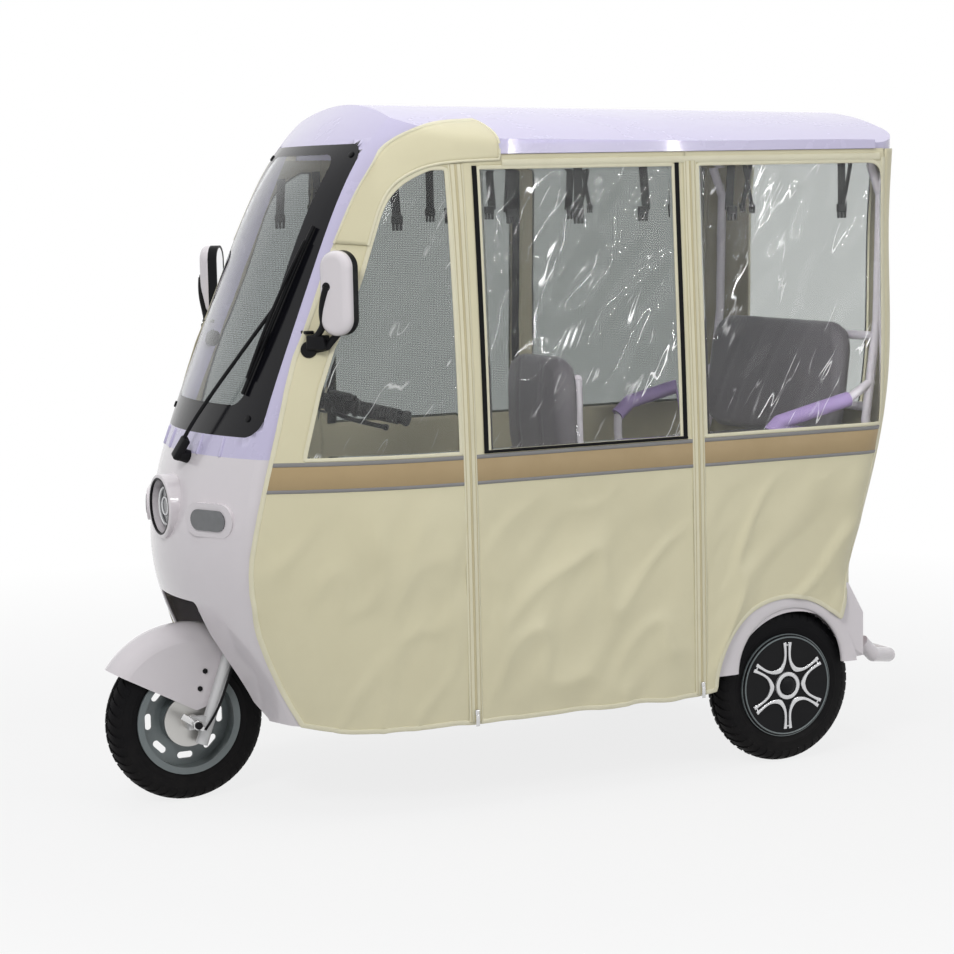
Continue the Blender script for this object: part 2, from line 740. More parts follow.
@dataclass
class SoftMesh:
    """Collects grids of points into one sheet."""

    corners: list[np.ndarray] = field(default_factory=list)
    faces: list[tuple[int, ...]] = field(default_factory=list)
    count: int = 0
    weld: float = 0.0004

    def add_grid(self, points: np.ndarray) -> None:
        """Adds a grid of points as quads."""
        rows, columns = points.shape[:2]
        for row, column in np.ndindex(rows - 1, columns - 1):
            first = self.count + row * columns + column
            self.faces.append((first, first + 1, first + columns + 1, first + columns))
        self.corners.append(points.reshape(-1, 3))
        self.count += rows * columns

    def take(self, other: "SoftMesh") -> None:
        """Adds another sheet to this one."""
        self.faces += [tuple(i + self.count for i in f) for f in other.faces]
        self.corners += other.corners
        self.count += other.count

    def mirrored(self) -> "SoftMesh":
        """The same sheet on the other side."""
        flipped = np.array([-1.0, 1.0, 1.0])
        return SoftMesh([c * flipped for c in self.corners], [f[::-1] for f in self.faces], self.count)

    def on(self, side: Side) -> "SoftMesh":
        """The sheet, drawn on the left, on the given side."""
        return self if side is Side.LEFT else self.mirrored()

    def piece(
        self, name: str, finish: Finish | ClearFinish, thickness: float = 0.0, backing: Finish | None = None
    ) -> bpy.types.Object:
        """Makes the sheet an object that rides on the chassis.

        Args:
            name: the piece's name.
            finish: its finish.
            thickness: thickness of the sheet, or 0 to leave it as it is.
            backing: finish of the inner side, if it differs.

        Returns:
            The object.
        """
        made = from_points(name, np.concatenate(self.corners).tolist(), (), self.faces)
        with editing(made):
            bpy.ops.mesh.remove_doubles(threshold=self.weld)
        made.data.materials.append(finish.material())
        if backing:
            made.data.materials.append(backing.material())
        if thickness:
            apply_step(made, "SOLIDIFY", thickness=thickness, offset=0.0, material_offset=1 if backing else 0)
        bpy.ops.object.shade_smooth()
        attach(made, "chassis")
        log.info("%s: %d faces", name, len(made.data.polygons))
        return made


@dataclass
class PanelPlan:
    """Outline of one side panel and its window, as (y, z) lines that run upwards."""

    name: str
    node: str
    front: np.ndarray
    back: np.ndarray
    window_front: np.ndarray
    window_back: np.ndarray
    hem: np.ndarray
    dents: Wrinkles
    corners: Flat = (0.010, 0.010)
    sink: float = 0.010
    edge_fade: float = 0.07
    fold_top: float = 0.805
    fold_fade: float = 0.13

    def ends(self, z: np.ndarray | float) -> tuple[np.ndarray, np.ndarray]:
        """Y of the panel's front and back edges at given heights."""
        return tuple(np.interp(z, line[:, 1], line[:, 0]) for line in (self.front, self.back))

    def relief(self, places: np.ndarray) -> np.ndarray:
        """Height of the panel's folds, which end below the belt and at the zips."""
        y, z = places[..., 0], places[..., 1]
        fore, aft = self.ends(z)
        edge = np.clip(np.minimum(y - fore, aft - y) / self.edge_fade, 0.1, 1.0)
        depth = np.clip((self.fold_top - z) / self.fold_fade, 0.0, 1.0)
        return np.maximum(self.dents.height(places) * edge * depth, -self.sink)


@dataclass
class CoverCloth:
    """The cloth cover with its panes, bands, bindings and zips."""

    sill: float = 0.891
    window_top: float = 1.590
    roof_edge: float = 1.622
    spacing: float = 0.013
    cloth_thick: float = 0.0016
    pane_thick: float = 0.0009
    cloth_lift: float = 0.002
    pane_lift: float = 0.0015
    trim_lift: float = 0.0026
    zip_front: float = 925
    zip_rear: float = 295
    hem_height: float = 215
    arch_radius: float = 0.2245
    arch_ahead: float = 18
    arch_height: float = 0.223
    arch_turn: float = 126
    pane_front_end: float = 960
    door_pane: Flat = (884, 331)
    rear_pane_start: float = 260
    rear_pane_gap: float = 0.007
    edge_inset: float = 0.010
    form: CoverForm = field(init=False)

    def build(self) -> None:
        """Makes all panels and their trim on both sides and the back."""
        self.form = CoverForm((
            "cover_fronts", "cover_doors", "cover_rears", "cover_back", "side_panes", "back_pane",
            "roof_panel",
        ))
        plans = self._plans()
        for plan in plans:
            self._panel(plan)
        self._flaps()
        self._trim(plans)
        self._zips()
        BackCloth(self).build()

    def _upright(self, station: float) -> np.ndarray:
        """A vertical line from the hem to the roof edge."""
        return stations([(station, self.hem_height), (station, 1622)])

    def _plans(self) -> list[PanelPlan]:
        """Outlines of the three panels of a side."""
        front_edge = rounded(stations([
            (1357, 233), (1393, 300), (1431, 394), (1459, 481), (1474, 597), (1468, 677), (1446, 782),
            (1423, 872), (1351, 1121), (1308, 1210), (1231, 1397), (1179, 1505), (1100, 1622),
        ]), 1)
        front_window = rounded(stations([
            (1338, 900), (1278, 1109), (1185, 1299), (1141, 1419), (1111, 1500), (1080, 1542), (1042, 1570),
            (995, 1591),
        ]), 1)
        rear_edge = stations(REAR_EDGE)
        zip_foot_front, zip_foot_rear = (self.zip_front, self.hem_height), (self.zip_rear, self.hem_height)
        hem_front = self._wavy([(1357, 233), (1250, 216), zip_foot_front], 2.0)
        hem_door = self._wavy([zip_foot_front, zip_foot_rear], 5.0)
        arch_y = ahead(self.arch_ahead)
        arch = [
            (arch_y - self.arch_radius * math.cos(t), self.arch_height + self.arch_radius * math.sin(t))
            for t in np.linspace(0, math.radians(self.arch_turn), 44)
        ]
        return [
            PanelPlan(
                "front", "cover_fronts", front_edge, self._upright(self.zip_front), front_window,
                self._upright(self.pane_front_end), hem_front, Wrinkles(0.022, 2.6, 7.0, 1.15, 0.45, 1.3),
                sink=0.002,
            ),
            PanelPlan(
                "door", "cover_doors", self._upright(self.zip_front), self._upright(self.zip_rear),
                self._upright(self.door_pane[0]), self._upright(self.door_pane[1]), hem_door,
                Wrinkles(0.022, 2.8, 6.5, 0.9, 0.45, 4.7), (0.003, 0.003),
            ),
            PanelPlan(
                "rear", "cover_rears", self._upright(self.zip_rear), rear_edge,
                self._upright(self.rear_pane_start), rear_edge + np.array([-self.rear_pane_gap, 0.0]),
                np.concatenate([stations([zip_foot_rear]), arch, rear_edge[:1]]),
                Wrinkles(0.027, 2.2, 8.0, 0.78, 0.5, 8.2), (0.006, 0.050), 0.003,
            ),
        ]

    @staticmethod
    def _wavy(points: Sequence[Flat], seed: float, count: int = 34, depth: float = 0.009) -> np.ndarray:
        """A hem line that rises and falls a little between its ends."""
        line = share_along(stations(points), shares(count))
        wave = np.array([noise.noise(Vector((9.0 * y, seed, 0.5))) for y in line[:, 0]])
        line[:, 1] += depth * wave * fade_in(count, 0.12)
        return line

    def _count(self, length: float) -> int:
        """Number of points along a length."""
        return max(4, int(length / self.spacing) + 1)

    def _panel(self, plan: PanelPlan) -> None:
        """Makes a panel's cloth and pane, left and right."""
        sill, top, roof = self.sill, self.window_top, self.roof_edge
        lines = (plan.front, plan.window_front, plan.window_back, plan.back)
        posts = [cut_line(line, sill, top) for line in lines]
        at_sill = [cut_line(line, sill, roof)[0] for line in lines]
        at_top = [post[-1] for post in posts]
        at_roof = [cut_line(line, sill, roof)[-1] for line in (plan.front, plan.back)]
        counts = [self._count(abs(at_sill[k + 1][0] - at_sill[k][0])) for k in range(3)]
        counts[0] = max(counts[0], 7)
        up = shares(self._count(top - sill))

        def row(places: list[np.ndarray]) -> np.ndarray:
            """Shares across the panel that keep its breaks at the window's edges."""
            breaks = [(p[0] - places[0][0]) / (places[3][0] - places[0][0]) for p in places]
            return np.unique(np.concatenate([np.linspace(*breaks[k:k + 2], counts[k]) for k in range(3)]))

        low_edges = [
            np.concatenate([foot, cut_line(line, foot[0][1] + 0.002, sill)[1:]])
            for foot, line in ((plan.hem[:1], plan.front), (plan.hem[-1:], plan.back))
        ]
        low_rows = shares(self._count(sill - self.hem_height / 1000))
        skirt = coons(plan.hem, np.array([at_sill[0], at_sill[3]]), *low_edges, row(at_sill), low_rows)
        strip, clear, end_strip = (
            coons(
                np.array(at_sill[k:k + 2]), np.array(at_top[k:k + 2]), *posts[k:k + 2], shares(counts[k]), up
            )
            for k in range(3)
        )
        header_edges = [cut_line(line, top, roof) for line in (plan.front, plan.back)]
        header_foot = np.array([at_top[0], at_top[3]])
        header = coons(header_foot, np.array(at_roof), *header_edges, row(at_top), shares(4))
        cloth, pane = SoftMesh(), SoftMesh()
        cloth.add_grid(self.form.lift(skirt, plan.relief(skirt) + self.cloth_lift))
        for grid in (strip, end_strip, header):
            cloth.add_grid(self.form.lift(grid, self.cloth_lift))
        creases = Wrinkles(0.0085, 3.0, 8.5, 0.9, 0.6, plan.dents.seed + 20)
        fade = fade_edges(len(up), counts[1], 0.08, 0.1)
        pane.add_grid(self.form.lift(clear, creases.height(clear) * fade + self.pane_lift))
        width = float(np.ptp(np.concatenate([plan.front[:, 0], plan.back[:, 0]])))
        height = roof - float(plan.hem[:, 1].min())
        for side in Side:
            tag = f"{plan.name}_{side.name.lower()}"
            made = cloth.on(side).piece(f"cover_{tag}", CREAM_CLOTH, self.cloth_thick, CLOTH_BACKING)
            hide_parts(plan.node)
            self.declare(made, width, height)
            finish = PANE_CLEAR if side is Side.LEFT else PANE_MESH
            glass = pane.on(side).piece(f"pane_{tag}", finish, self.pane_thick)
            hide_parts("side_panes")
            self.declare(glass, float(np.ptp(clear[..., 0])), top - sill)

    @staticmethod
    def declare(made: bpy.types.Object, width: float, height: float) -> None:
        """Declares a sheet with the flat size that its cut needs."""
        area = sum(p.area for p in made.data.polygons) / 2
        width, height = width * 1.02, height * 1.03
        if area > width * height:
            width = area / height

    def _flaps(self) -> None:
        """Makes the flaps that wrap from the pillars onto the roof corners."""
        low = rounded(stations([
            (1150, 1405), (1117, 1497), (1086, 1548), (1044, 1578), (995, 1598), (925, 1606), (826, 1609),
        ]))
        high = rounded(stations([
            (1222, 1412), (1176, 1508), (1135, 1580), (1090, 1640), (1030, 1679), (950, 1699), (834, 1704),
        ]))
        end = rounded(stations([(826, 1609), (823, 1655), (825, 1690), (834, 1704)]))
        start = stations([(1150, 1405), (1222, 1412)])
        rows, columns = 10, 46
        grid = coons(low, high, start, end, shares(columns), shares(rows))
        dents = Wrinkles(0.003, 7.0, 9.0, 0.3, 0.4, 13.0)
        fade = fade_edges(rows, columns, 0.25, 0.06, 0.1)
        flap = SoftMesh()
        flap.add_grid(self.form.lift(grid, dents.height(grid) * fade + 0.0058))
        edge = np.concatenate([low, end[1:-1], high[::-1]])
        rim = self._ribbon(edge, self._half_round(0.0035), 0.0052)
        for side in Side:
            made = flap.on(side).piece(f"cover_flap_{side.name.lower()}", CREAM_CLOTH, self.cloth_thick)
            self.declare(made, 0.36, 0.16)
        self._both(rim, "flap_binding", CREAM_BINDING)

    @staticmethod
    def _half_round(radius: float) -> list[Flat]:
        """Half-round section of a binding or piping."""
        return [(radius * math.cos(a), radius * math.sin(a)) for a in np.linspace(math.pi, 0, 7)]

    @staticmethod
    def _flat(width: float, height: float) -> list[Flat]:
        """Flat tape section with soft edges."""
        half, foot, shoulder, soft = width / 2, -0.0006, height * 0.6, 0.0012
        return [
            (-half, foot), (-half, shoulder), (-half + soft, height),
            (half - soft, height), (half, shoulder), (half, foot),
        ]

    def _ribbon(
        self, path: np.ndarray, section: Sequence[Flat], height: float | None = None,
        plan: PanelPlan | None = None,
    ) -> SoftMesh:
        """Sweeps a section along a line on the cover.

        Args:
            path: (y, z) points.
            section: (across, out) points of the section.
            height: how far the section's foot stands off the surface, or None for the trim's own lift.
            plan: the panel whose folds the line follows.

        Returns:
            The swept sheet.
        """
        count = max(3, int(length_of(path) / 0.010))
        along = shares(count)
        spots = share_along(path, along)
        after = share_along(path, np.minimum(along + 0.5 / count, 1))
        before = share_along(path, np.maximum(along - 0.5 / count, 0))
        way = after - before
        way /= np.linalg.norm(way, axis=1, keepdims=True) + 1e-9
        cross = np.stack([-way[:, 1], way[:, 0]], 1)
        offsets, heights = np.array(section).T
        places = spots[:, None] + cross[:, None] * offsets[None, :, None]
        lifts = np.broadcast_to(heights + (self.trim_lift if height is None else height), places.shape[:2])
        if plan:
            lifts = lifts + plan.relief(spots)[:, None]
        swept = SoftMesh()
        swept.add_grid(self.form.lift(places, lifts))
        return swept

    def _level(self, plan: PanelPlan, height: float, section: Sequence[Flat]) -> SoftMesh:
        """A strip along a panel at one height, cut along the panel's edges inside their bindings."""
        fore_inset = self.edge_inset if plan.name == "front" else 0.0
        aft_inset = self.edge_inset if plan.name == "rear" else 0.0
        columns = 60
        rows = []
        for across, out in section:
            fore, aft = plan.ends(height + across)
            run = np.linspace(fore + fore_inset, aft - aft_inset, columns)
            places = np.stack([run, np.full(columns, height + across)], 1)
            rows.append(self.form.lift(places, out + self.trim_lift))
        strip = SoftMesh()
        strip.add_grid(np.stack(rows, 1))
        return strip

    @staticmethod
    def _both(mesh: SoftMesh, name: str, finish: Finish) -> None:
        """Makes one piece of a trim on both sides."""
        mesh.take(mesh.mirrored())
        mesh.piece(name, finish)

    def _window_frame(self, plan: PanelPlan) -> tuple[np.ndarray, list[np.ndarray]]:
        """Line up, over and down a panel's window, and the patches behind its round top corners."""
        fore = cut_line(plan.window_front, self.sill, self.window_top)
        aft = cut_line(plan.window_back, self.sill, self.window_top)
        parts, patches = [], []
        for line, other, radius in ((fore, aft, plan.corners[0]), (aft, fore, plan.corners[1])):
            side = share_along(line, np.linspace(0, 1 - radius / length_of(line), 60))
            corner = line[-1]
            over = corner + (other[-1] - corner) * radius / np.linalg.norm(other[-1] - corner)
            t = shares(12)[:, None]
            arc = (1 - t) ** 2 * side[-1] + 2 * t * (1 - t) * corner + t ** 2 * over
            outer = share_along(np.array([side[-1], corner, over]), t[:, 0])
            patches.append(np.stack([arc, (arc + outer) / 2, outer]))
            parts.append(np.concatenate([side, arc[1:]]))
        return np.concatenate([parts[0], parts[1][::-1]]), patches

    def _trim(self, plans: list[PanelPlan]) -> None:
        """Adds the bands, pipings and bindings of the panels."""
        band, piping, binding, hem = SoftMesh(), SoftMesh(), SoftMesh(), SoftMesh()
        hem_tape = self._flat(0.012, 0.0018)
        for plan in plans:
            band.take(self._level(plan, 0.8495, self._flat(0.056, 0.0018)))
            for height, width in ((0.8825, 0.0100), (0.8180, 0.0085)):
                piping.take(self._level(plan, height, self._flat(width, 0.0024)))
            edge, patches = self._window_frame(plan)
            binding.take(self._ribbon(edge, self._flat(0.010, 0.0020)))
            for patch in patches:
                binding.add_grid(self.form.lift(patch, 0.0028))
            window = (plan.window_front, plan.window_back)
            sill = np.array([cut_line(line, self.sill, self.roof_edge)[0] for line in window])
            binding.take(self._ribbon(sill + np.array([0, 0.002]), self._flat(0.009, 0.0018)))
            hem.take(self._ribbon(plan.hem + np.array([0, 0.005]), hem_tape, plan=plan))
        front, rear = plans[0], plans[2]
        edge = cut_line(front.front, 0.236, 1.40) + np.array([0.005, 0])
        hem.take(self._ribbon(edge, hem_tape, plan=front))
        edge = cut_line(rear.back, 0.38, 1.60) + np.array([-0.005, 0])
        hem.take(self._ribbon(edge, self._flat(0.014, 0.002), plan=rear))
        ledge = stations([(820, 1600), (self.zip_rear, 1602), (-306, 1602)])
        hem.take(self._ribbon(ledge, self._flat(0.018, 0.0026)))
        self._both(band, "belt_band", TAN_BAND)
        self._both(piping, "belt_piping", GREY_PIPING)
        self._both(binding, "window_binding", CREAM_BINDING)
        self._both(hem, "hem_binding", CREAM_BINDING)

    def _zips(self) -> None:
        """Adds the zips beside the door and the black tape round its window."""
        zips, coils, tape = SoftMesh(), SoftMesh(), SoftMesh()
        stitching = 13
        for station in (938, 283):
            line = stations([(station, 222), (station, 1598)])
            zips.take(self._ribbon(line, self._flat(0.036, 0.0024), 0.0034))
            coils.take(self._ribbon(line, self._half_round(0.0034), 0.0052))
            for edge in (station - stitching, station + stitching):
                stitched = stations([(edge, 222), (edge, 1598)])
                coils.take(self._ribbon(stitched, self._half_round(0.0012), 0.0056))
        outer, inner = self._flat(0.012, 0.0018), self._flat(0.024, -0.0018)
        for station, section, lift in (
            (893, outer, 0.0046), (322, outer, 0.0046), (898, inner, -0.004), (317, inner, -0.004),
        ):
            tape.take(self._ribbon(stations([(station, 890), (station, 1594)]), section, lift))
        tape.take(self._ribbon(stations([(899, 893), (316, 893)]), self._half_round(0.0040), 0.0040))
        self._both(zips, "zip_strips", CREAM_BINDING)
        self._both(coils, "zip_coils", ZIP_COIL)
        self._both(tape, "window_zip_tape", BLACK_WEBBING)


@dataclass
class BackCloth:
    """The panel that wraps round the back, with its window."""

    cover: CoverCloth
    hem: float = 0.462
    sill: float = 0.93
    half_window: float = 0.30
    axis_y: float = 0.55
    columns: tuple[int, int, int] = (12, 44, 12)
    rows: tuple[int, int, int] = (30, 46, 4)
    binding_radius: float = 0.0042
    lowest: float = field(init=False)
    edge: np.ndarray = field(init=False)

    def build(self) -> None:
        """Makes the back panel and its pane."""
        cover = self.cover
        self.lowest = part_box("cover_back")[0].z + 0.005
        self.edge = stations(REAR_EDGE[1:])
        levels = (self.hem, self.sill, cover.window_top, cover.roof_edge)
        cloth, pane = SoftMesh(), SoftMesh()
        for zone, block in np.ndindex(3, 3):
            heights = np.linspace(levels[zone], levels[zone + 1], self.rows[zone])
            run = shares(self.columns[block])
            grid = np.array([[self._spot(z, block, share) for share in run] for z in heights])
            if (zone, block) == (1, 1):
                pane.add_grid(self._puffed(grid, Wrinkles(0.006, 3.0, 8.0, 0.9, 0.5, 41.0)))
                self._bind(grid)
            elif (zone, block) == (0, 1):
                cloth.add_grid(self._puffed(grid, Wrinkles(0.004, 4.5, 5.5, 0.4, 0.35, 47.0)))
            else:
                cloth.add_grid(grid)
        back = cloth.piece("cover_back_panel", CREAM_CLOTH, cover.cloth_thick, CLOTH_BACKING)
        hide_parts("cover_back")
        cover.declare(back, 1.2, 1.11)
        clear = pane.piece("pane_back", PANE_SMOKE, cover.pane_thick)
        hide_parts("back_pane")
        cover.declare(clear, 0.61, 0.67)

    def _bind(self, grid: np.ndarray) -> None:
        """Binding round the window's edge."""
        edges = (grid[0], grid[-1], grid[:, 0], grid[:, -1])
        bars = [Shop.bar(edge, self.binding_radius, False) for edge in edges]
        made = Shop.done(Shop.join(bars), "back_window_binding", CREAM_BINDING, angle=60)

    def _spot(self, z: float, block: int, share: float) -> np.ndarray:
        """A point of the back at a height, by block and share across it; the hem hangs straight down."""
        tree = self.cover.form.tree
        level = max(z, self.lowest)
        edge_y = np.interp(z, self.edge[:, 1], self.edge[:, 0])
        edge_x = self.cover.form.out_at(edge_y, z)
        rim = math.atan2(edge_x, edge_y - self.axis_y)
        middle = tree.ray_cast(Vector((0, 2, level)), Vector((0, -1, 0)))[0]
        inner = math.atan2(self.half_window, (middle.y if middle else 1.04) - self.axis_y)
        limits = (rim, inner, -inner, -rim)
        turn = limits[block] + (limits[block + 1] - limits[block]) * share
        way = Vector((math.sin(turn), math.cos(turn), 0))
        hit = tree.ray_cast(Vector((0, self.axis_y, level)) + way * 2.0, -way)[0]
        x, y = (hit.x, hit.y) if hit else (math.copysign(edge_x, turn), edge_y)
        return np.array(Vector((x, y, z)) + way * self.cover.cloth_lift)

    @staticmethod
    def _puffed(grid: np.ndarray, dents: Wrinkles) -> np.ndarray:
        """Moves the inner points of a grid back and forth along Y."""
        moved = grid.copy()
        moved[..., 1] += dents.height(grid[..., [0, 2]]) * fade_edges(*grid.shape[:2], 0.12, 0.12)
        return moved


# Hard pieces


def facing(place: Sequence[float], way: Sequence[float], roll: float = 0.0) -> Matrix:
    """A place whose Z axis points along a direction, turned about it by roll degrees."""
    turn = Vector(way).to_track_quat("Z", "Y").to_matrix().to_4x4()
    return Matrix.Translation(place) @ turn @ Matrix.Rotation(math.radians(roll), 4, "Z")


def about_z(count: int, start: float = 0.0) -> list[Matrix]:
    """Even turns about the Z axis, begun a share of one step further on."""
    return [Matrix.Rotation((index + start) * (2 * math.pi / count), 4, "Z") for index in range(count)]


class Cut(Enum):
    """What a tool does to a piece."""

    AWAY = "DIFFERENCE"
    KEEP = "INTERSECT"


class Shop:
    """Makes hard pieces by primitive, edit-mode and modifier steps."""

    @classmethod
    def block(cls, size: Point, bevel: float, segments: int = 3) -> bpy.types.Object:
        """A box about the origin with rounded edges."""
        deselect()
        bpy.ops.mesh.primitive_cube_add(size=1)
        made = bpy.context.object
        made.scale = size
        bpy.ops.object.transform_apply(location=False, rotation=False, scale=True)
        return cls.soften(made, bevel, segments)

    @classmethod
    def disc(cls, radius: float, depth: float, bevel: float = 0.0, sides: int = 32) -> bpy.types.Object:
        """A round piece about the Z axis."""
        deselect()
        bpy.ops.mesh.primitive_cylinder_add(radius=radius, depth=depth, vertices=sides)
        return cls.soften(bpy.context.object, bevel, 2)

    @staticmethod
    def ring(radius: float, section: float, sides: int) -> bpy.types.Object:
        """A round ring about the Z axis."""
        deselect()
        bpy.ops.mesh.primitive_torus_add(
            major_radius=radius, minor_radius=section, major_segments=sides, minor_segments=10,
        )
        return bpy.context.object

    @staticmethod
    def spun(section: Sequence[Flat], steps: int) -> bpy.types.Object:
        """A section of (radius, height) points spun about the Z axis."""
        points = [(radius, 0.0, height) for radius, height in section]
        made = from_points("spun", points, [(i, i + 1) for i in range(len(points) - 1)])
        with editing(made):
            bpy.ops.mesh.spin(steps=steps, angle=math.radians(360), center=(0, 0, 0), axis=(0, 0, 1))
            bpy.ops.mesh.select_all(action="SELECT")
            bpy.ops.mesh.remove_doubles(threshold=0.0001)
            face_outwards()
        return made

    @classmethod
    def plate(cls, outline: Sequence[Flat], depth: float, bevel: float) -> bpy.types.Object:
        """A flat outline on the XY plane, extruded upwards and rounded."""
        made = from_points("plate", [(x, y, 0.0) for x, y in outline], (), [tuple(range(len(outline)))])
        with editing(made):
            bpy.ops.mesh.extrude_region_move(TRANSFORM_OT_translate={"value": (0, 0, depth)})
            face_outwards()
        return cls.soften(made, bevel, 2)

    @staticmethod
    def bar(points: Sequence[Sequence[float]], radius: float, smooth: bool = True) -> bpy.types.Object:
        """A round bar through points, with closed ends."""
        curve = bpy.data.curves.new("bar", "CURVE")
        curve.dimensions = "3D"
        curve.bevel_depth = radius
        curve.bevel_resolution = 4
        curve.use_fill_caps = True
        curve.resolution_u = 8
        spline = curve.splines.new("NURBS" if smooth else "POLY")
        spline.points.add(len(points) - 1)
        for spot, point in zip(spline.points, points):
            spot.co = (*point, 1.0)
        if smooth:
            spline.order_u = 3
            spline.use_endpoint_u = True
        enter(bpy.data.objects.new("bar", curve))
        bpy.ops.object.convert(target="MESH")
        return bpy.context.object

    @staticmethod
    def soften(made: bpy.types.Object, bevel: float, segments: int) -> bpy.types.Object:
        """Rounds the sharp edges of a piece."""
        if bevel:
            apply_step(made, "BEVEL", width=bevel, segments=segments, limit_method="ANGLE")
        return made

    @staticmethod
    def twin(name: str) -> bpy.types.Object:
        """A copy of a CAD node to work on, with its loose triangles merged."""
        made = duplicate(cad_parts[name])
        with editing(made):
            bpy.ops.mesh.remove_doubles(threshold=0.00001)
        return made

    @staticmethod
    def combine(made: bpy.types.Object, tool: bpy.types.Object, cut: Cut) -> None:
        """Cuts a piece by a tool, which is used up."""
        apply_step(made, "BOOLEAN", operation=cut.value, object=tool, solver="EXACT")
        bpy.data.objects.remove(tool)

    @staticmethod
    def bisect(made: bpy.types.Object, place: Point, way: Point, **cleared: bool) -> None:
        """Cuts a piece along a plane and closes the cut."""
        with editing(made):
            bpy.ops.mesh.bisect(plane_co=place, plane_no=way, use_fill=True, **cleared)

    @staticmethod
    def put(made: bpy.types.Object, where: Matrix) -> bpy.types.Object:
        """Moves a piece's mesh by a matrix."""
        made.data.transform(where)
        if where.determinant() < 0:
            made.data.flip_normals()
        return made

    @classmethod
    def copies(cls, made: bpy.types.Object, places: Iterable[Matrix]) -> bpy.types.Object:
        """Joins copies of a piece at several places and drops the first one."""
        others = [cls.put(duplicate(made), where) for where in places]
        bpy.data.objects.remove(made)
        return cls.join(others)

    @classmethod
    def pair(cls, made: bpy.types.Object) -> bpy.types.Object:
        """A piece joined with its mirror image on the other side."""
        return cls.copies(made, (Matrix.Identity(4), MIRROR_X))

    @staticmethod
    def join(parts: Sequence[bpy.types.Object]) -> bpy.types.Object:
        """Joins pieces into the first one."""
        deselect()
        for part in parts:
            part.select_set(True)
        bpy.context.view_layer.objects.active = parts[0]
        if len(parts) > 1:
            bpy.ops.object.join()
        return parts[0]

    @staticmethod
    def done(
        made: bpy.types.Object, name: str, finish: Finish, body: str = "chassis", angle: float = 35.0
    ) -> bpy.types.Object:
        """Names, shades and paints a piece and lets it ride on a body.

        Args:
            made: the piece.
            name: its name.
            finish: its finish.
            body: the body that carries it.
            angle: edges sharper than this many degrees stay sharp.

        Returns:
            The piece.
        """
        made.name = name
        made.data.name = name
        pick(made)
        bpy.ops.object.shade_smooth_by_angle(angle=math.radians(angle))
        made.data.materials.clear()
        made.data.materials.append(finish.material())
        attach(made, body)
        log.info("%s: %d faces", name, len(made.data.polygons))
        return made


class Skin:
    """Finds points on CAD nodes by rays."""

    def __init__(self, *names: str) -> None:
        """Takes the nodes that make the surface."""
        self.tree = surface_tree(names)

    def front(self, x: float, z: float) -> tuple[Vector, Vector]:
        """Point and normal met from ahead."""
        return self.tree.ray_cast(Vector((x, -2.0, z)), Vector((0, 1, 0)))[:2]

    def left(self, y: float, z: float) -> tuple[Vector, Vector]:
        """Point and normal met from the left."""
        return self.tree.ray_cast(Vector((2.0, y, z)), Vector((-1, 0, 0)))[:2]


@dataclass
class Wheel:
    """A wheel's tyre with tread."""

    body: str
    node: str
    centre: Point
    radius: float = 0.207
    lugs: int = 46
    lug_half_width: float = 0.0092
    groove: float = 0.0026
    steps: int = 88

    def build(self) -> None:
        """Makes the tyre with its lugs and side rings in place of the plain one."""
        crown = self.radius - self.groove
        half = [
            (0.127, 0.034), (0.139, 0.0345), (0.150, 0.0385), (0.1535, 0.0397), (0.1545, 0.0405),
            (0.1575, 0.0405), (0.1585, 0.0398), (0.168, 0.0402), (0.178, 0.0393), (0.187, 0.0368),
            (0.1935, 0.0335), (0.1985, 0.0265), (crown - 0.0015, 0.018), (crown - 0.0004, 0.0065),
            (crown - 0.004, 0.0058), (crown - 0.004, 0.0),
        ]
        section = half + [(radius, -height) for radius, height in reversed(half[:-1])]
        tyre = Shop.spun(section, self.steps)
        flip = Matrix.Scale(-1, 4, (0, 0, 1))
        places = []
        for upper, lower in zip(about_z(self.lugs), about_z(self.lugs, 0.5)):
            places += [upper, lower @ flip]
        tyre = Shop.join([tyre, Shop.copies(self._lug(), places)])
        Shop.put(tyre, Matrix.Translation(self.centre) @ UPRIGHT_WHEEL)
        Shop.done(tyre, f"treaded_{self.node}", TYRE_RUBBER, self.body, 30)
        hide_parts(self.node)

    def _lug(self) -> bpy.types.Object:
        """One lug from the crown over the shoulder of the upper side, at +X of a wheel about Z."""
        crown = self.radius
        ridge = [
            (crown, 0.007), (crown - 0.0012, 0.016), (crown - 0.0045, 0.0255), (crown - 0.010, 0.0335),
            (crown - 0.0175, 0.0378), (crown - 0.027, 0.0402),
        ]
        lean = [0.0, 0.03, 0.062, 0.09, 0.105, 0.112]
        corners = []
        for (radius, height), turn in zip(ridge, lean):
            for offset in (-self.lug_half_width, self.lug_half_width):
                swing = turn + offset / crown
                for reach, level in ((radius, height), (radius - 0.0065, max(height - 0.003, 0.004))):
                    corners.append((reach * math.cos(swing), reach * math.sin(swing), level))
        faces = [(1, 0, 2, 3)]
        for a in range(0, 4 * len(ridge) - 4, 4):
            b = a + 4
            faces += [(a, b, b + 2, a + 2), (a, a + 1, b + 1, b), (a + 2, b + 2, b + 3, a + 3)]
        last = 4 * len(ridge) - 4
        faces.append((last, last + 1, last + 3, last + 2))
        made = from_points("lug", corners, (), faces)
        with editing(made):
            face_outwards()
        return made


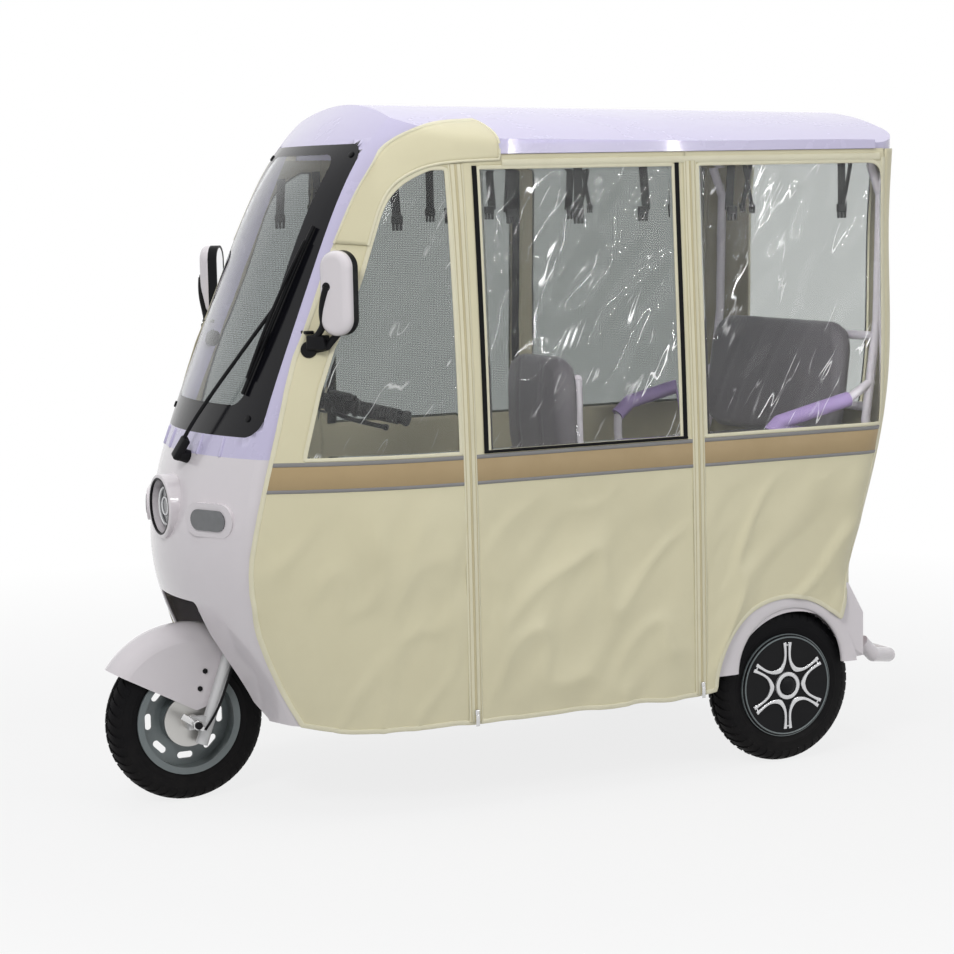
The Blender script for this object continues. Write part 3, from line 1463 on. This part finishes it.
@dataclass
class WheelCover:
    """Silver hub ring and forked spokes, edge ring and cap on a rear wheel's black cover."""

    side: Side
    spokes: int = 6
    ring_radius: float = 0.130
    ring_section: float = 0.0022
    bridge_reach: float = 0.1095
    relief: float = 0.0045

    def build(self) -> None:
        """Makes the cover's silver parts, its edge ring and its black cap."""
        name = self.side.name.lower()
        body = f"rear_wheel_{name}"
        low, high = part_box(f"hubcap_{name}")
        face = high.x if self.side is Side.LEFT else low.x
        centre = (face, (low.y + high.y) / 2, (low.z + high.z) / 2)
        place = Matrix.Translation(centre) @ Matrix.Rotation(math.radians(90 * self.side.value), 4, "Y")
        edge = Shop.ring(self.ring_radius, self.ring_section, 72)
        hub = Shop.spun([
            (0.026, 0.0), (0.026, 0.006), (0.028, 0.0075), (0.034, 0.0075), (0.0365, 0.0055), (0.037, 0.0),
        ], 48)
        turns = about_z(self.spokes)
        webs = Shop.copies(self._web(), turns)
        bridge = Shop.block((0.0035, 0.008, 0.003), 0.0006, 1)
        Shop.put(bridge, Matrix.Translation((-self.bridge_reach, 0, 0.0012)))
        spokes = Shop.put(Shop.join([hub, webs, Shop.copies(bridge, turns)]), place)
        Shop.done(spokes, f"wheel_cover_spokes_{name}", SILVER_TRIM, body)
        Shop.done(Shop.put(edge, place), f"wheel_cover_edge_{name}", RIM_GREY, body, 60)
        cap = Shop.spun([(0.0, 0.010), (0.012, 0.0095), (0.021, 0.007), (0.0245, 0.003), (0.0245, 0.0)], 40)
        Shop.done(Shop.put(cap, place), f"wheel_cover_cap_{name}", BLACK_PLASTIC, body, 60)

    def _web(self) -> bpy.types.Object:
        """A band from one spoke's tip down to the hub ring and out to the next spoke's tip."""
        half = [
            (0.1165, 0.0082, 0.0050), (0.1110, 0.0078, 0.0044), (0.0960, 0.0066, 0.0034),
            (0.0780, 0.0064, 0.0033), (0.0640, 0.0090, 0.0038), (0.0530, 0.0145, 0.0050),
            (0.0440, 0.0215, 0.0064),
        ]
        line = list(half)
        for along, across, wide in reversed(half):
            turn = 2 * (math.pi / self.spokes) - math.atan2(across, along)
            reach = math.hypot(along, across)
            line.append((reach * math.cos(turn), reach * math.sin(turn), wide))
        smooth = rounded(line)
        spine, wide = smooth[:, :2], smooth[:, 2:]
        way = np.gradient(spine, axis=0)
        way /= np.linalg.norm(way, axis=1, keepdims=True)
        normal = np.stack([-way[:, 1], way[:, 0]], 1)
        edges = np.concatenate([spine + normal * wide, (spine - normal * wide)[::-1]])
        return Shop.plate([(-x, -y) for x, y in edges], self.relief, 0.0012)


@dataclass
class FrontWheelGear:
    """Axle nuts and caps, brake lever and cable, and fender bolts of the front wheel."""

    axle_y: float = ahead(1530)
    axle_height: float = AXLE_HEIGHT
    bolts: tuple[Flat, ...] = ((1489, 334), (1504, 290))
    lever_turn: float = -125
    cable_radius: float = 0.0035

    def build(self) -> None:
        """Makes the parts on both sides of the fork."""
        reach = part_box("fork")[1].x
        for name, finish, disc, out in (
            ("axle_nuts", BRIGHT_STEEL, (0.014, 0.010, 0.002, 6), 0.004),
            ("axle_caps", BLACK_PLASTIC, (0.0095, 0.014, 0.003, 24), 0.014),
        ):
            places = [
                facing((side.value * (reach + out), self.axle_y, self.axle_height), (side.value, 0, 0))
                for side in Side
            ]
            Shop.done(Shop.copies(Shop.disc(*disc), places), name, finish, "steering")
        bolt = Shop.disc(0.0075, 0.008, 0.002, 6)
        skin = Skin("front_fender")
        places = []
        for station, height in self.bolts:
            place = facing(*skin.left(ahead(station), height / 1000))
            places += [place, MIRROR_X @ place]
        Shop.done(Shop.copies(bolt, places), "fender_bolts", BLACK_PLASTIC, "steering")
        self._lever()

    def _lever(self) -> None:
        """Brake lever on the brake plate, and the cable from its tip."""
        outline = [(-0.008, -0.010), (0.008, -0.010), (0.0065, 0.058), (0.0, 0.064), (-0.0065, 0.058)]
        lever = Shop.plate(outline, 0.005, 0.001)
        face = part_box("brake_plate")[1].x
        pivot = Vector((face + 0.001, self.axle_y - 0.030, self.axle_height + 0.020))
        Shop.put(lever, facing(pivot, (1, 0, 0), self.lever_turn))
        Shop.done(lever, "brake_lever", BRIGHT_STEEL, "steering")
        tip = max((v.co.copy() for v in lever.data.vertices), key=lambda spot: (spot - pivot).length)
        steps = ((0, 0, 0), (0.004, 0.035, 0.045), (-0.002, 0.07, 0.13), (-0.02, 0.115, 0.23))
        cable = Shop.bar([tip + Vector(step) for step in steps], self.cable_radius)
        Shop.done(cable, "front_brake_cable", BLACK_PLASTIC, "steering")


@dataclass
class ScreenDress:
    """Wiper, corner bolts and moulded ridges round the windscreen."""

    arm_foot: Flat = (0.060, 0.885)
    arm_tip: Flat = (0.182, 1.235)
    blade: tuple[Flat, Flat] = ((0.222, 1.045), (0.262, 1.452))
    blade_lift: float = 0.008
    bolts: tuple[Flat, ...] = ((0.262, 1.628), (-0.262, 1.628), (0.262, 0.990), (-0.262, 0.990))
    ridges: tuple[float, ...] = (-0.20, -0.10, 0.10, 0.20)
    ridge_height: float = 0.918

    def build(self) -> None:
        """Makes the wiper, bolts and ridges."""
        skin = Skin("windscreen_glass", "windscreen_border", "windscreen_surround", "nose_shell")
        self._wiper(skin)
        bolt = Shop.disc(0.0085, 0.006, 0.002, 20)
        places = []
        for spot in self.bolts:
            hit, normal = skin.front(*spot)
            places.append(facing(hit + normal * 0.001, normal))
        Shop.done(Shop.copies(bolt, places), "screen_bolts", BLACK_PLASTIC)
        ridge = Shop.block((0.010, 0.052, 0.008), 0.0035)
        places = [facing(*skin.front(x, self.ridge_height)) for x in self.ridges]
        Shop.done(Shop.copies(ridge, places), "surround_ridges", BODY_LILAC)

    def _wiper(self, skin: Skin) -> None:
        """Makes the wiper's pivot, arm and blade."""
        foot, foot_out = skin.front(*self.arm_foot)
        tip_out = skin.front(*self.arm_tip)[1]
        low = skin.front(*self.blade[0])[0]
        high, high_out = skin.front(*self.blade[1])
        start, end = (np.array(spot) for spot in self.blade)
        spine = []
        for share in shares(12):
            hit, normal = skin.front(*(start + (end - start) * share))
            spine.append(hit + normal * self.blade_lift)
        rubber = Shop.bar(spine, 0.0055)
        bow_lift = high_out * 0.006
        bow_top = (low + high) / 2 + tip_out * 0.030
        bow = Shop.bar([spine[1] + bow_lift, bow_top, spine[-2] + bow_lift], 0.0045)
        middle = (spine[5] + spine[6]) / 2 + tip_out * 0.012
        arm = Shop.bar([
            foot + foot_out * 0.026,
            foot + foot_out * 0.036 + Vector((0.01, 0.01, 0.03)),
            (foot + middle) / 2 + foot_out * 0.028,
            middle,
        ], 0.005)
        boss = Shop.put(Shop.disc(0.017, 0.030, 0.004, 24), facing(foot + foot_out * 0.012, foot_out))
        along = (middle - foot).normalized()
        turn = Matrix((along.cross(foot_out).normalized(), along, foot_out)).transposed().to_4x4()
        cap = Shop.block((0.030, 0.062, 0.020), 0.006)
        Shop.put(cap, Matrix.Translation(foot + foot_out * 0.030 + along * 0.016) @ turn)
        Shop.done(Shop.join([rubber, bow, arm, boss, cap]), "wiper", BLACK_PLASTIC)


@dataclass
class BodyDress:
    """Arch flares, lamp rings, mirror arms, and the screen surround and rear body cut to fit the cloth."""

    cover: CoverCloth
    flare_ahead: float = -2
    flare_height: float = 0.2545
    flare_radius: float = 0.1625
    flare_end: float = 0.258
    body_side: float = 0.474
    corner_ahead: float = 188
    corner_size: Point = (0.06, 0.130, 0.060)
    mirror_centre: Point = (0.434, ahead(1256), 1.296)
    mirror_turn: float = 35.0
    mirror_foot: Point = (0.376, ahead(1297), 1.186)
    mirror_boss: Point = (0.350, ahead(1298), 1.156)
    lamp_edge_radius: float = 0.0705
    surround_cut: Point = (0, ahead(1376), 0.9)

    def build(self) -> None:
        """Makes all the body's small parts."""
        self._flares()
        self._lamp_rings()
        self._mirror_arms()
        self._surround()
        self._rear_body()

    def _flares(self) -> None:
        """Rounded flares round the rear wheels, which run under the cloth's edge and end above the axle."""
        section = (
            (0.0, -0.003), (-0.0005, 0.003), (0.004, 0.0075), (0.013, 0.0105), (0.040, 0.0110),
            (0.095, 0.0110), (0.095, -0.003), (0.0, -0.003),
        )
        flare = Shop.spun([(self.flare_radius + radius, height) for radius, height in section], 96)
        middle = (self.body_side, ahead(self.flare_ahead), self.flare_height)
        Shop.put(flare, Matrix.Translation(middle) @ UPRIGHT_WHEEL)
        drum = Shop.disc(self.cover.arch_radius + 0.004, 0.1, sides=96)
        middle = (self.body_side, ahead(self.cover.arch_ahead), self.cover.arch_height)
        Shop.combine(flare, Shop.put(drum, Matrix.Translation(middle) @ UPRIGHT_WHEEL), Cut.KEEP)
        Shop.bisect(flare, (0, 0, self.flare_end), (0, 0, 1), clear_inner=True)
        Shop.done(Shop.pair(flare), "rear_arch_flares", BODY_WHITE, angle=50)

    def _rear_body(self) -> None:
        """The rear body, with its lower front corners cut away below the flares."""
        made = Shop.twin("rear_body")
        for side in Side:
            corner = Shop.block(self.corner_size, 0.012)
            middle = (side.value * self.body_side, ahead(self.corner_ahead), self.flare_end - 0.030)
            Shop.combine(made, Shop.put(corner, Matrix.Translation(middle)), Cut.AWAY)
        Shop.done(made, "rear_body_trimmed", BODY_WHITE)
        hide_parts("rear_body")

    def _lamp_rings(self) -> None:
        """Rings in the headlamp and round the lamp's edge."""
        low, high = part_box("headlamp_lens")
        height = (low.z + high.z) / 2
        forward = (0, -1, 0)
        rings = [
            Shop.put(Shop.ring(radius, section, 56), facing((0.0, low.y + out, height), forward))
            for radius, section, out in ((0.047, 0.0035, 0.0), (0.022, 0.003, -0.001))
        ]
        Shop.done(Shop.join(rings), "headlamp_rings", SILVER_TRIM, angle=60)
        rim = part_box("headlamp_bezel")[0].y + 0.003
        edge = Shop.put(Shop.ring(self.lamp_edge_radius, 0.0036, 72), facing((0.0, rim, height), forward))
        Shop.done(edge, "headlamp_edge", BLACK_PLASTIC, angle=60)

    def _mirror_arms(self) -> None:
        """Mirror feet on the pillars, with arms that run up into the caps."""
        turn = math.radians(self.mirror_turn)
        across = Vector((math.cos(turn), math.sin(turn), 0))
        forward = Vector((math.sin(turn), -math.cos(turn), 0))

        def spot(u: float, v: float, depth: float) -> Vector:
            """A point of the mirror in millimetres across, up and forward of its middle."""
            return Vector(self.mirror_centre) + (across * u + Vector((0, 0, v)) + forward * depth) / 1000

        foot = Vector(self.mirror_foot)
        steps = ((-18, 16, 25), (-23, 2, 25), (-31, -22, 23), (-37, -50, 18), (-36, -84, 10))
        line = [*(spot(*step) for step in steps), foot]
        arm = Shop.bar(line, 0.0085)
        head = Shop.put(Shop.disc(0.011, 0.008, 0.003, 28), facing(line[0], forward))
        block = Shop.block((0.050, 0.036, 0.034), 0.005)
        Shop.put(block, facing(foot + Vector((0.002, 0.008, -0.010)), forward))
        cap = Shop.block((0.034, 0.022, 0.008), 0.002)
        Shop.put(cap, facing(foot + Vector((-0.030, -0.006, 0.014)), (0, 0, 1)))
        boss = Shop.disc(0.021, 0.040, 0.006, 32)
        Shop.put(boss, facing(self.mirror_boss, Vector((0.75, -0.62, 0.2)).normalized()))
        Shop.done(Shop.pair(Shop.join([arm, head, block, cap, boss])), "mirror_feet", BLACK_PLASTIC)

    def _surround(self) -> None:
        """The screen surround, cut off where the clear front panes begin."""
        made = Shop.twin("windscreen_surround")
        Shop.bisect(made, self.surround_cut, (0, 1, -0.43), clear_outer=True)
        Shop.done(made, "screen_surround_trimmed", BODY_LILAC)
        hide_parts("windscreen_surround")


@dataclass
class Cockpit:
    """Grips, switch pods, levers and cables on the handlebar, and the display."""

    bar_bend: Point = (0.220, ahead(1155), 1.005)
    bar_end: Point = (0.340, ahead(1045), 0.975)
    ribs: int = 13
    rib_start: float = 0.045
    rib_step: float = 0.0085
    stem: Point = (0.030, ahead(1232), 0.905)
    cable_radius: float = 0.0035
    display_place: Point = (0, ahead(1279), 0.9805)

    def build(self) -> None:
        """Makes the steering controls on both ends of the bar."""
        bend, end = Vector(self.bar_bend), Vector(self.bar_end)
        along = (end - bend).normalized()
        self._grips(bend, end, along)
        self._pods(bend, along)
        root = bend + Vector((0.0, -0.030, -0.006))
        tip = Vector((0.012, -0.030, -0.012))
        lever = Shop.bar([
            root,
            root + Vector((0.030, -0.022, -0.004)),
            root + along * 0.09 + Vector((0.010, -0.040, -0.010)),
            root + along * 0.165 + tip,
        ], 0.0058)
        ball = Shop.put(Shop.disc(0.008, 0.012, 0.004, 16), facing(root + along * 0.168 + tip, along))
        self._pair([lever, ball], "brake_levers", BLACK_PLASTIC)
        at_bar = ((-0.012, -0.004, -0.004), (-0.040, -0.004, -0.014), (-0.090, 0.004, -0.012))
        at_stem = ((0.030, 0.018, 0.075), (0.006, 0.004, 0.030), (0, 0, 0))
        route = [root + Vector(step) for step in at_bar]
        route += [Vector(self.stem) + Vector(step) for step in at_stem]
        self._pair([Shop.bar(route, self.cable_radius)], "control_cables", BLACK_PLASTIC)
        display = Shop.block((0.150, 0.044, 0.006), 0.003)
        Shop.put(display, facing(self.display_place, (0, 0.466, 0.885)))
        Shop.done(display, "dash_display", DISPLAY_GLASS)

    def _grips(self, bend: Vector, end: Vector, along: Vector) -> None:
        """Ribs, flange and end stop of the rubber grips."""
        parts = []
        for index in range(self.ribs):
            spot = bend + along * (self.rib_start + self.rib_step * index)
            parts.append(Shop.put(Shop.ring(0.0172, 0.0026, 24), facing(spot, along)))
        parts.append(Shop.put(Shop.disc(0.024, 0.007, 0.002, 28), facing(bend + along * 0.032, along)))
        parts.append(Shop.put(Shop.disc(0.0195, 0.014, 0.004, 28), facing(end + along * 0.004, along)))
        self._pair(parts, "grip_ribs", GRIP_RUBBER)

    def _pods(self, bend: Vector, along: Vector) -> None:
        """Switch pods with a knob and a switch, and the lever clamps."""
        pod = Shop.block((0.046, 0.052, 0.066), 0.010)
        Shop.put(pod, facing(bend - along * 0.012 + Vector((0, -0.004, 0.004)), along, 12))
        knob = Shop.disc(0.007, 0.014, 0.002, 16)
        Shop.put(knob, facing(bend + Vector((0.0, 0.026, 0.016)), (0.2, 1, 0.3)))
        switch = Shop.block((0.012, 0.018, 0.010), 0.003)
        Shop.put(switch, facing(bend + Vector((-0.01, 0.024, -0.010)), (0.2, 1, 0.1)))
        clamp = Shop.block((0.030, 0.034, 0.030), 0.006)
        Shop.put(clamp, facing(bend - along * 0.058 + Vector((0, 0.004, 0.002)), along))
        self._pair([pod, knob, switch, clamp], "switch_pods", BLACK_PLASTIC)

    @staticmethod
    def _pair(parts: Sequence[bpy.types.Object], name: str, finish: Finish) -> None:
        """Joins parts, adds the other side's copy and finishes both as one."""
        Shop.done(Shop.pair(Shop.join(parts)), name, finish, "steering")


@dataclass
class Straps:
    """Webbing straps with buckles behind the window tops, and the zip pullers."""

    cover: CoverCloth
    width: float = 0.024
    cord_width: float = 0.012
    inside: float = 0.016
    swing: float = 0.10

    def build(self) -> None:
        """Makes all straps and pullers on both sides."""
        rows = [
            (1074, 1562, 0.095), (950, 1580, 0.098), (786, 1596, 0.118), (597, 1597, 0.124),
            (411, 1597, 0.122), (144, 1592, 0.122), (-196, 1588, 0.120),
        ]
        cords = [(108, 1588, 0.112, 0.22), (84, 1588, 0.108, -0.26), (-228, 1586, 0.104, -0.24)]
        webs, buckles = [], []
        for index, (station, top, length) in enumerate(rows):
            lean = self.swing * math.sin(index * 2.1)
            webs.append(self._web(station, top / 1000, length, self.width, lean))
            buckles.append(self._buckle(station - 60 * length * lean, top / 1000 - length))
        for station, top, length, lean in cords:
            webs.append(self._web(station, top / 1000, length, self.cord_width, lean))
            buckles.append(self._buckle(station - 1000 * length * lean, top / 1000 - length, 0.6))
        Shop.done(Shop.pair(Shop.join(webs)), "roof_straps", BLACK_WEBBING)
        Shop.done(Shop.pair(Shop.join(buckles)), "strap_buckles", BLACK_PLASTIC)
        self._pullers()

    def _x(self, station: float, height: float) -> float:
        """X just inside the cover."""
        return self.cover.form.out_at(ahead(station), height) - self.inside

    def _web(self, station: float, top: float, length: float, width: float, lean: float) -> bpy.types.Object:
        """One hanging strap."""
        high = Vector((self._x(station, top), ahead(station), top + 0.012))
        foot_x = self._x(station, top - length) - 0.004
        low = Vector((foot_x, ahead(station) + lean * length, top - length))
        web = Shop.block((width, 0.0022, (high - low).length), 0.0006, 1)
        along = (high - low).normalized()
        out = along.cross(Vector((0, 1, 0))).normalized()
        turn = Matrix((out.cross(along), out, along)).transposed().to_4x4()
        return Shop.put(web, Matrix.Translation((high + low) / 2) @ turn)

    def _buckle(self, station: float, height: float, scale: float = 1.0) -> bpy.types.Object:
        """One clip buckle with its prongs."""
        parts = [Shop.block((0.009, 0.030, 0.022), 0.003)]
        for y in (-0.010, 0.0, 0.010):
            prong = Shop.block((0.006, 0.007, 0.020), 0.002)
            parts.append(Shop.put(prong, Matrix.Translation((0, y, -0.017))))
        spot = (self._x(station, height) - 0.004, ahead(station), height)
        return Shop.put(Shop.join(parts), Matrix.Translation(spot) @ Matrix.Scale(scale, 4))

    def _pullers(self) -> None:
        """Metal pullers at the lower ends of the zips."""
        pulls = []
        for station in (938, 283):
            x = self._x(station, 0.24) + self.inside + 0.010
            slider = Shop.block((0.006, 0.011, 0.014), 0.002)
            pulls.append(Shop.put(slider, Matrix.Translation((x, ahead(station), 0.246))))
            tab = Shop.block((0.0025, 0.010, 0.030), 0.001)
            pulls.append(Shop.put(tab, Matrix.Translation((x + 0.003, ahead(station), 0.226))))
        Shop.done(Shop.pair(Shop.join(pulls)), "zip_pullers", BRIGHT_STEEL)


@dataclass
class Pad:
    """A stuffed seat pad in place of a CAD block."""

    node: str
    radius: float = 0.03
    puff: float = 0.012
    seams: tuple[float, ...] = ()
    diagonal: bool = False
    squeeze: float = 0.004
    seam_width: float = 0.007
    corner: float = 0.0
    cells: int = 44
    fill: float = 0.85

    def build(self) -> None:
        low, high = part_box(self.node)
        centre, half = (low + high) / 2, (high - low) / 2
        lean = self._lean()
        mesh = SoftMesh()
        for axis in range(3):
            for sign in (1, -1):
                mesh.add_grid(self._face(axis, sign, np.array(half), lean) + np.array(centre))
        made = mesh.piece(f"{self.node}_pad", SEAT_GREY)
        with editing(made):
            face_outwards()
        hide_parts(self.node)

    def _lean(self) -> float:
        """How much the CAD block leans back, as Y per Z."""
        points = np.array([v.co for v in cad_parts[self.node].data.vertices])
        heights = points[:, 2]
        top = points[heights > np.quantile(heights, 0.8)].mean(0)
        foot = points[heights < np.quantile(heights, 0.2)].mean(0)
        return float((top[1] - foot[1]) / max(top[2] - foot[2], 1e-6))

    def _face(self, axis: int, sign: int, sizes: np.ndarray, lean: float) -> np.ndarray:
        """One side of the pad as a grid with rounded edges and soft seams, about the pad's middle.

        Args:
            axis: the axis that the side faces along.
            sign: which way it faces.
            sizes: half sizes of the CAD block's box.
            lean: Y per Z of the block.

        Returns:
            Points by row and column.
        """
        upright = self.node.endswith("backrest")
        thick = 1 if upright else 2
        wide = [k for k in range(3) if k != thick]
        if upright:
            sizes = sizes - np.array([0, abs(lean) * sizes[2], 0])
            sizes[1] = max(sizes[1], self.radius)
        u = np.linspace(-1, 1, self.cells)
        first, second = [k for k in range(3) if k != axis]
        grid = np.zeros((self.cells, self.cells, 3))
        grid[..., first] = u[None]
        grid[..., second] = u[:, None]
        grid[..., axis] = sign
        radius = min(self.radius, float(sizes.min()) * 0.98)
        solid = self._rounded(grid * sizes, sizes - radius, radius)
        if self.corner:
            flat = solid[..., wide]
            scale = self._reach(flat, sizes[wide], self.corner) / self._reach(flat, sizes[wide], radius)
            solid[..., wide] = flat * scale[..., None]
        swell = np.prod([1 - np.clip(np.abs(solid[..., k]) / sizes[k], 0, 1) ** 2.4 for k in wide], axis=0)
        dents = np.zeros(swell.shape)
        for seam in self.seams:
            across = solid[..., 0] - seam * sizes[0]
            if self.diagonal:
                across = across - 0.5 * solid[..., 2 if upright else 1]
            dents += np.exp(-(across / self.seam_width) ** 2)
        pressed = self.squeeze * np.clip(dents, 0, 1) * np.clip(swell * 3, 0, 1)
        solid[..., thick] += np.sign(solid[..., thick]) * (self.puff * swell - pressed)
        if upright:
            solid[..., 1] += lean * solid[..., 2]
        return solid

    @staticmethod
    def _rounded(solid: np.ndarray, inner: np.ndarray, radius: float) -> np.ndarray:
        """Points of a box drawn in to a radius about its inner box."""
        core = np.clip(solid, -inner, inner)
        away = solid - core
        length = np.linalg.norm(away, axis=-1, keepdims=True)
        return core + np.where(length > 0, away / np.maximum(length, 1e-9), 0) * radius

    @staticmethod
    def _reach(flat: np.ndarray, half: np.ndarray, corner: float) -> np.ndarray:
        """Distance from the middle to the edge of a rectangle with round corners, along each point."""
        way = np.abs(flat) / np.maximum(np.linalg.norm(flat, axis=-1, keepdims=True), 1e-9)
        reach = np.min(half / np.maximum(way, 1e-9), axis=-1)
        centre = half - corner
        beyond = np.all(way * reach[..., None] > centre, axis=-1)
        along = way @ centre
        root = np.sqrt(np.maximum(along ** 2 - centre @ centre + corner ** 2, 0))
        return np.where(beyond, along + root, reach)


@dataclass
class Studio:
    """Floor, world, lamps and camera."""

    lens: float = 94.74
    camera_place: Point = (6.0026, -2.9648, 1.5526)
    azimuth: float = 63.81
    pitch: float = 6.68
    roll: float = -1.15
    floor_size: float = 60.0
    fade_start: float = 1.5
    fade_end: float = 4.0
    floor_white: float = 0.82

    def build(self) -> None:
        """Makes the whole studio."""
        bpy.context.scene.view_settings.view_transform = "Standard"
        self._camera()
        self._world()
        self._floor()
        self._lamp("key_lamp", (3.6, -3.4, 4.2), (0, 0, 0.8), 1.5, 108)
        self._lamp("side_lamp", (5.2, 2.6, 2.6), (0, 0.2, 0.9), 2.4, 50)
        self._lamp("top_lamp", (0, 0, 5.2), (0, 0, 0), 4.0, 100)
        self._lamp("back_lamp", (-4.4, 1.5, 3.2), (0, 0, 0.9), 3.0, 40)
        for index, (y, z) in enumerate(((2.4, 2.0), (3.3, 2.6), (1.2, 3.4))):
            self._lamp(f"glint_lamp_{index}", (5.4, y, z), (0, 0.1, 1.2), 0.04, 16, 1.6)
        log.info("studio ready")

    def _camera(self) -> None:
        """Places the camera where the photograph was taken from."""
        turn, dip, tilt = (math.radians(a) for a in (self.azimuth, self.pitch, self.roll))
        look = Vector((-math.sin(turn) * math.cos(dip), math.cos(turn) * math.cos(dip), -math.sin(dip)))
        level = Vector((math.cos(turn), math.sin(turn), 0))
        above = level.cross(look)
        right = level * math.cos(tilt) + above * math.sin(tilt)
        up = above * math.cos(tilt) - level * math.sin(tilt)
        data = bpy.data.cameras.new("photo_camera")
        data.lens = self.lens
        data.sensor_width = 36.0
        data.clip_end = 200.0
        camera = enter(bpy.data.objects.new("photo_camera", data))
        view = Matrix((right, up, -look)).transposed().to_4x4()
        camera.matrix_world = Matrix.Translation(self.camera_place) @ view
        bpy.context.scene.camera = camera

    def _world(self) -> None:
        """White to the camera, reflections and glass; softer as a light."""
        world = bpy.data.worlds.new("studio_world")
        world.use_nodes = True
        wiring = Wiring(world.node_tree)
        light = world.node_tree.nodes["Background"]
        wiring.feed(light, {"Color": (0.93, 0.95, 1.0, 1), "Strength": 0.34})
        seen = wiring.add("Background", {"Color": (1, 1, 1, 1)})["Background"]
        wiring.blend(self._seen_rays(wiring), light.outputs["Background"], seen, "World Output")
        bpy.context.scene.world = world

    def _floor(self) -> None:
        """Pale floor that keeps a soft shadow and fades to white."""
        deselect()
        bpy.ops.mesh.primitive_plane_add(size=self.floor_size)
        floor = bpy.context.object
        floor.name = "studio_floor"
        made, wiring, shader = start_material("studio_floor")
        wiring.feed(shader, {"Base Color": (0.6, 0.6, 0.6, 1), "Roughness": 0.9})
        white = wiring.add("Emission", {})["Emission"]
        length = wiring.add("VectorMath", {0: wiring.place()}, operation="LENGTH")["Value"]
        fade = wiring.remap(length, (self.fade_start, self.fade_end), (self.floor_white, 1.0))
        share = wiring.sum("MULTIPLY", self._seen_rays(wiring), fade)
        wiring.blend(share, shader.outputs["BSDF"], white, "Material Output")
        floor.data.materials.append(made)

    @staticmethod
    def _seen_rays(wiring: Wiring) -> bpy.types.NodeSocket:
        """One for rays from the camera, from reflections and through glass, else zero."""
        path = wiring.add("LightPath", {})
        found = path["Is Camera Ray"]
        for ray in ("Is Glossy Ray", "Is Transmission Ray"):
            found = wiring.sum("MAXIMUM", found, path[ray])
        return found

    @staticmethod
    def _lamp(name: str, place: Point, aim: Point, size: float, power: float, tall: float = 0.0) -> None:
        """Adds a soft lamp that points at aim; tall makes it a strip that only shows as glints."""
        data = bpy.data.lights.new(name, "AREA")
        data.size = size
        data.energy = power
        if tall:
            data.shape = "RECTANGLE"
            data.size_y = tall
        lamp = enter(bpy.data.objects.new(name, data))
        lamp.visible_glossy = bool(tall)
        lamp.visible_diffuse = not tall
        lamp.location = place
        lamp.rotation_euler = (Vector(aim) - Vector(place)).to_track_quat("-Z", "Y").to_euler()


def main() -> None:
    """Builds and dresses every sub-assembly in order."""
    dress_nodes()
    cover = CoverCloth()
    cover.build()
    Straps(cover).build()
    Wheel("front_wheel", "front_tyre", (0.0, ahead(1530), AXLE_HEIGHT)).build()
    for side in Side:
        name = side.name.lower()
        centre = (side.value * HALF_TRACK, REAR_AXLE_Y, AXLE_HEIGHT)
        Wheel(f"rear_wheel_{name}", f"rear_tyre_{name}", centre).build()
    for side in Side:
        WheelCover(side).build()
    FrontWheelGear().build()
    ScreenDress().build()
    BodyDress(cover).build()
    Cockpit().build()
    bench_seams = (-0.62, -0.31, 0.0, 0.31, 0.62)
    for pad in (
        Pad("driver_cushion", 0.032, 0.014, (-0.45, 0.0, 0.45)),
        Pad("driver_backrest", 0.027, 0.016, (-0.4, 0.4), corner=0.075),
        Pad("bench_cushion", 0.032, 0.014, bench_seams, True),
        Pad("bench_backrest", 0.027, 0.015, bench_seams, True, corner=0.085),
    ):
        pad.build()
    Studio().build()


if __name__ == "__main__":
    main()
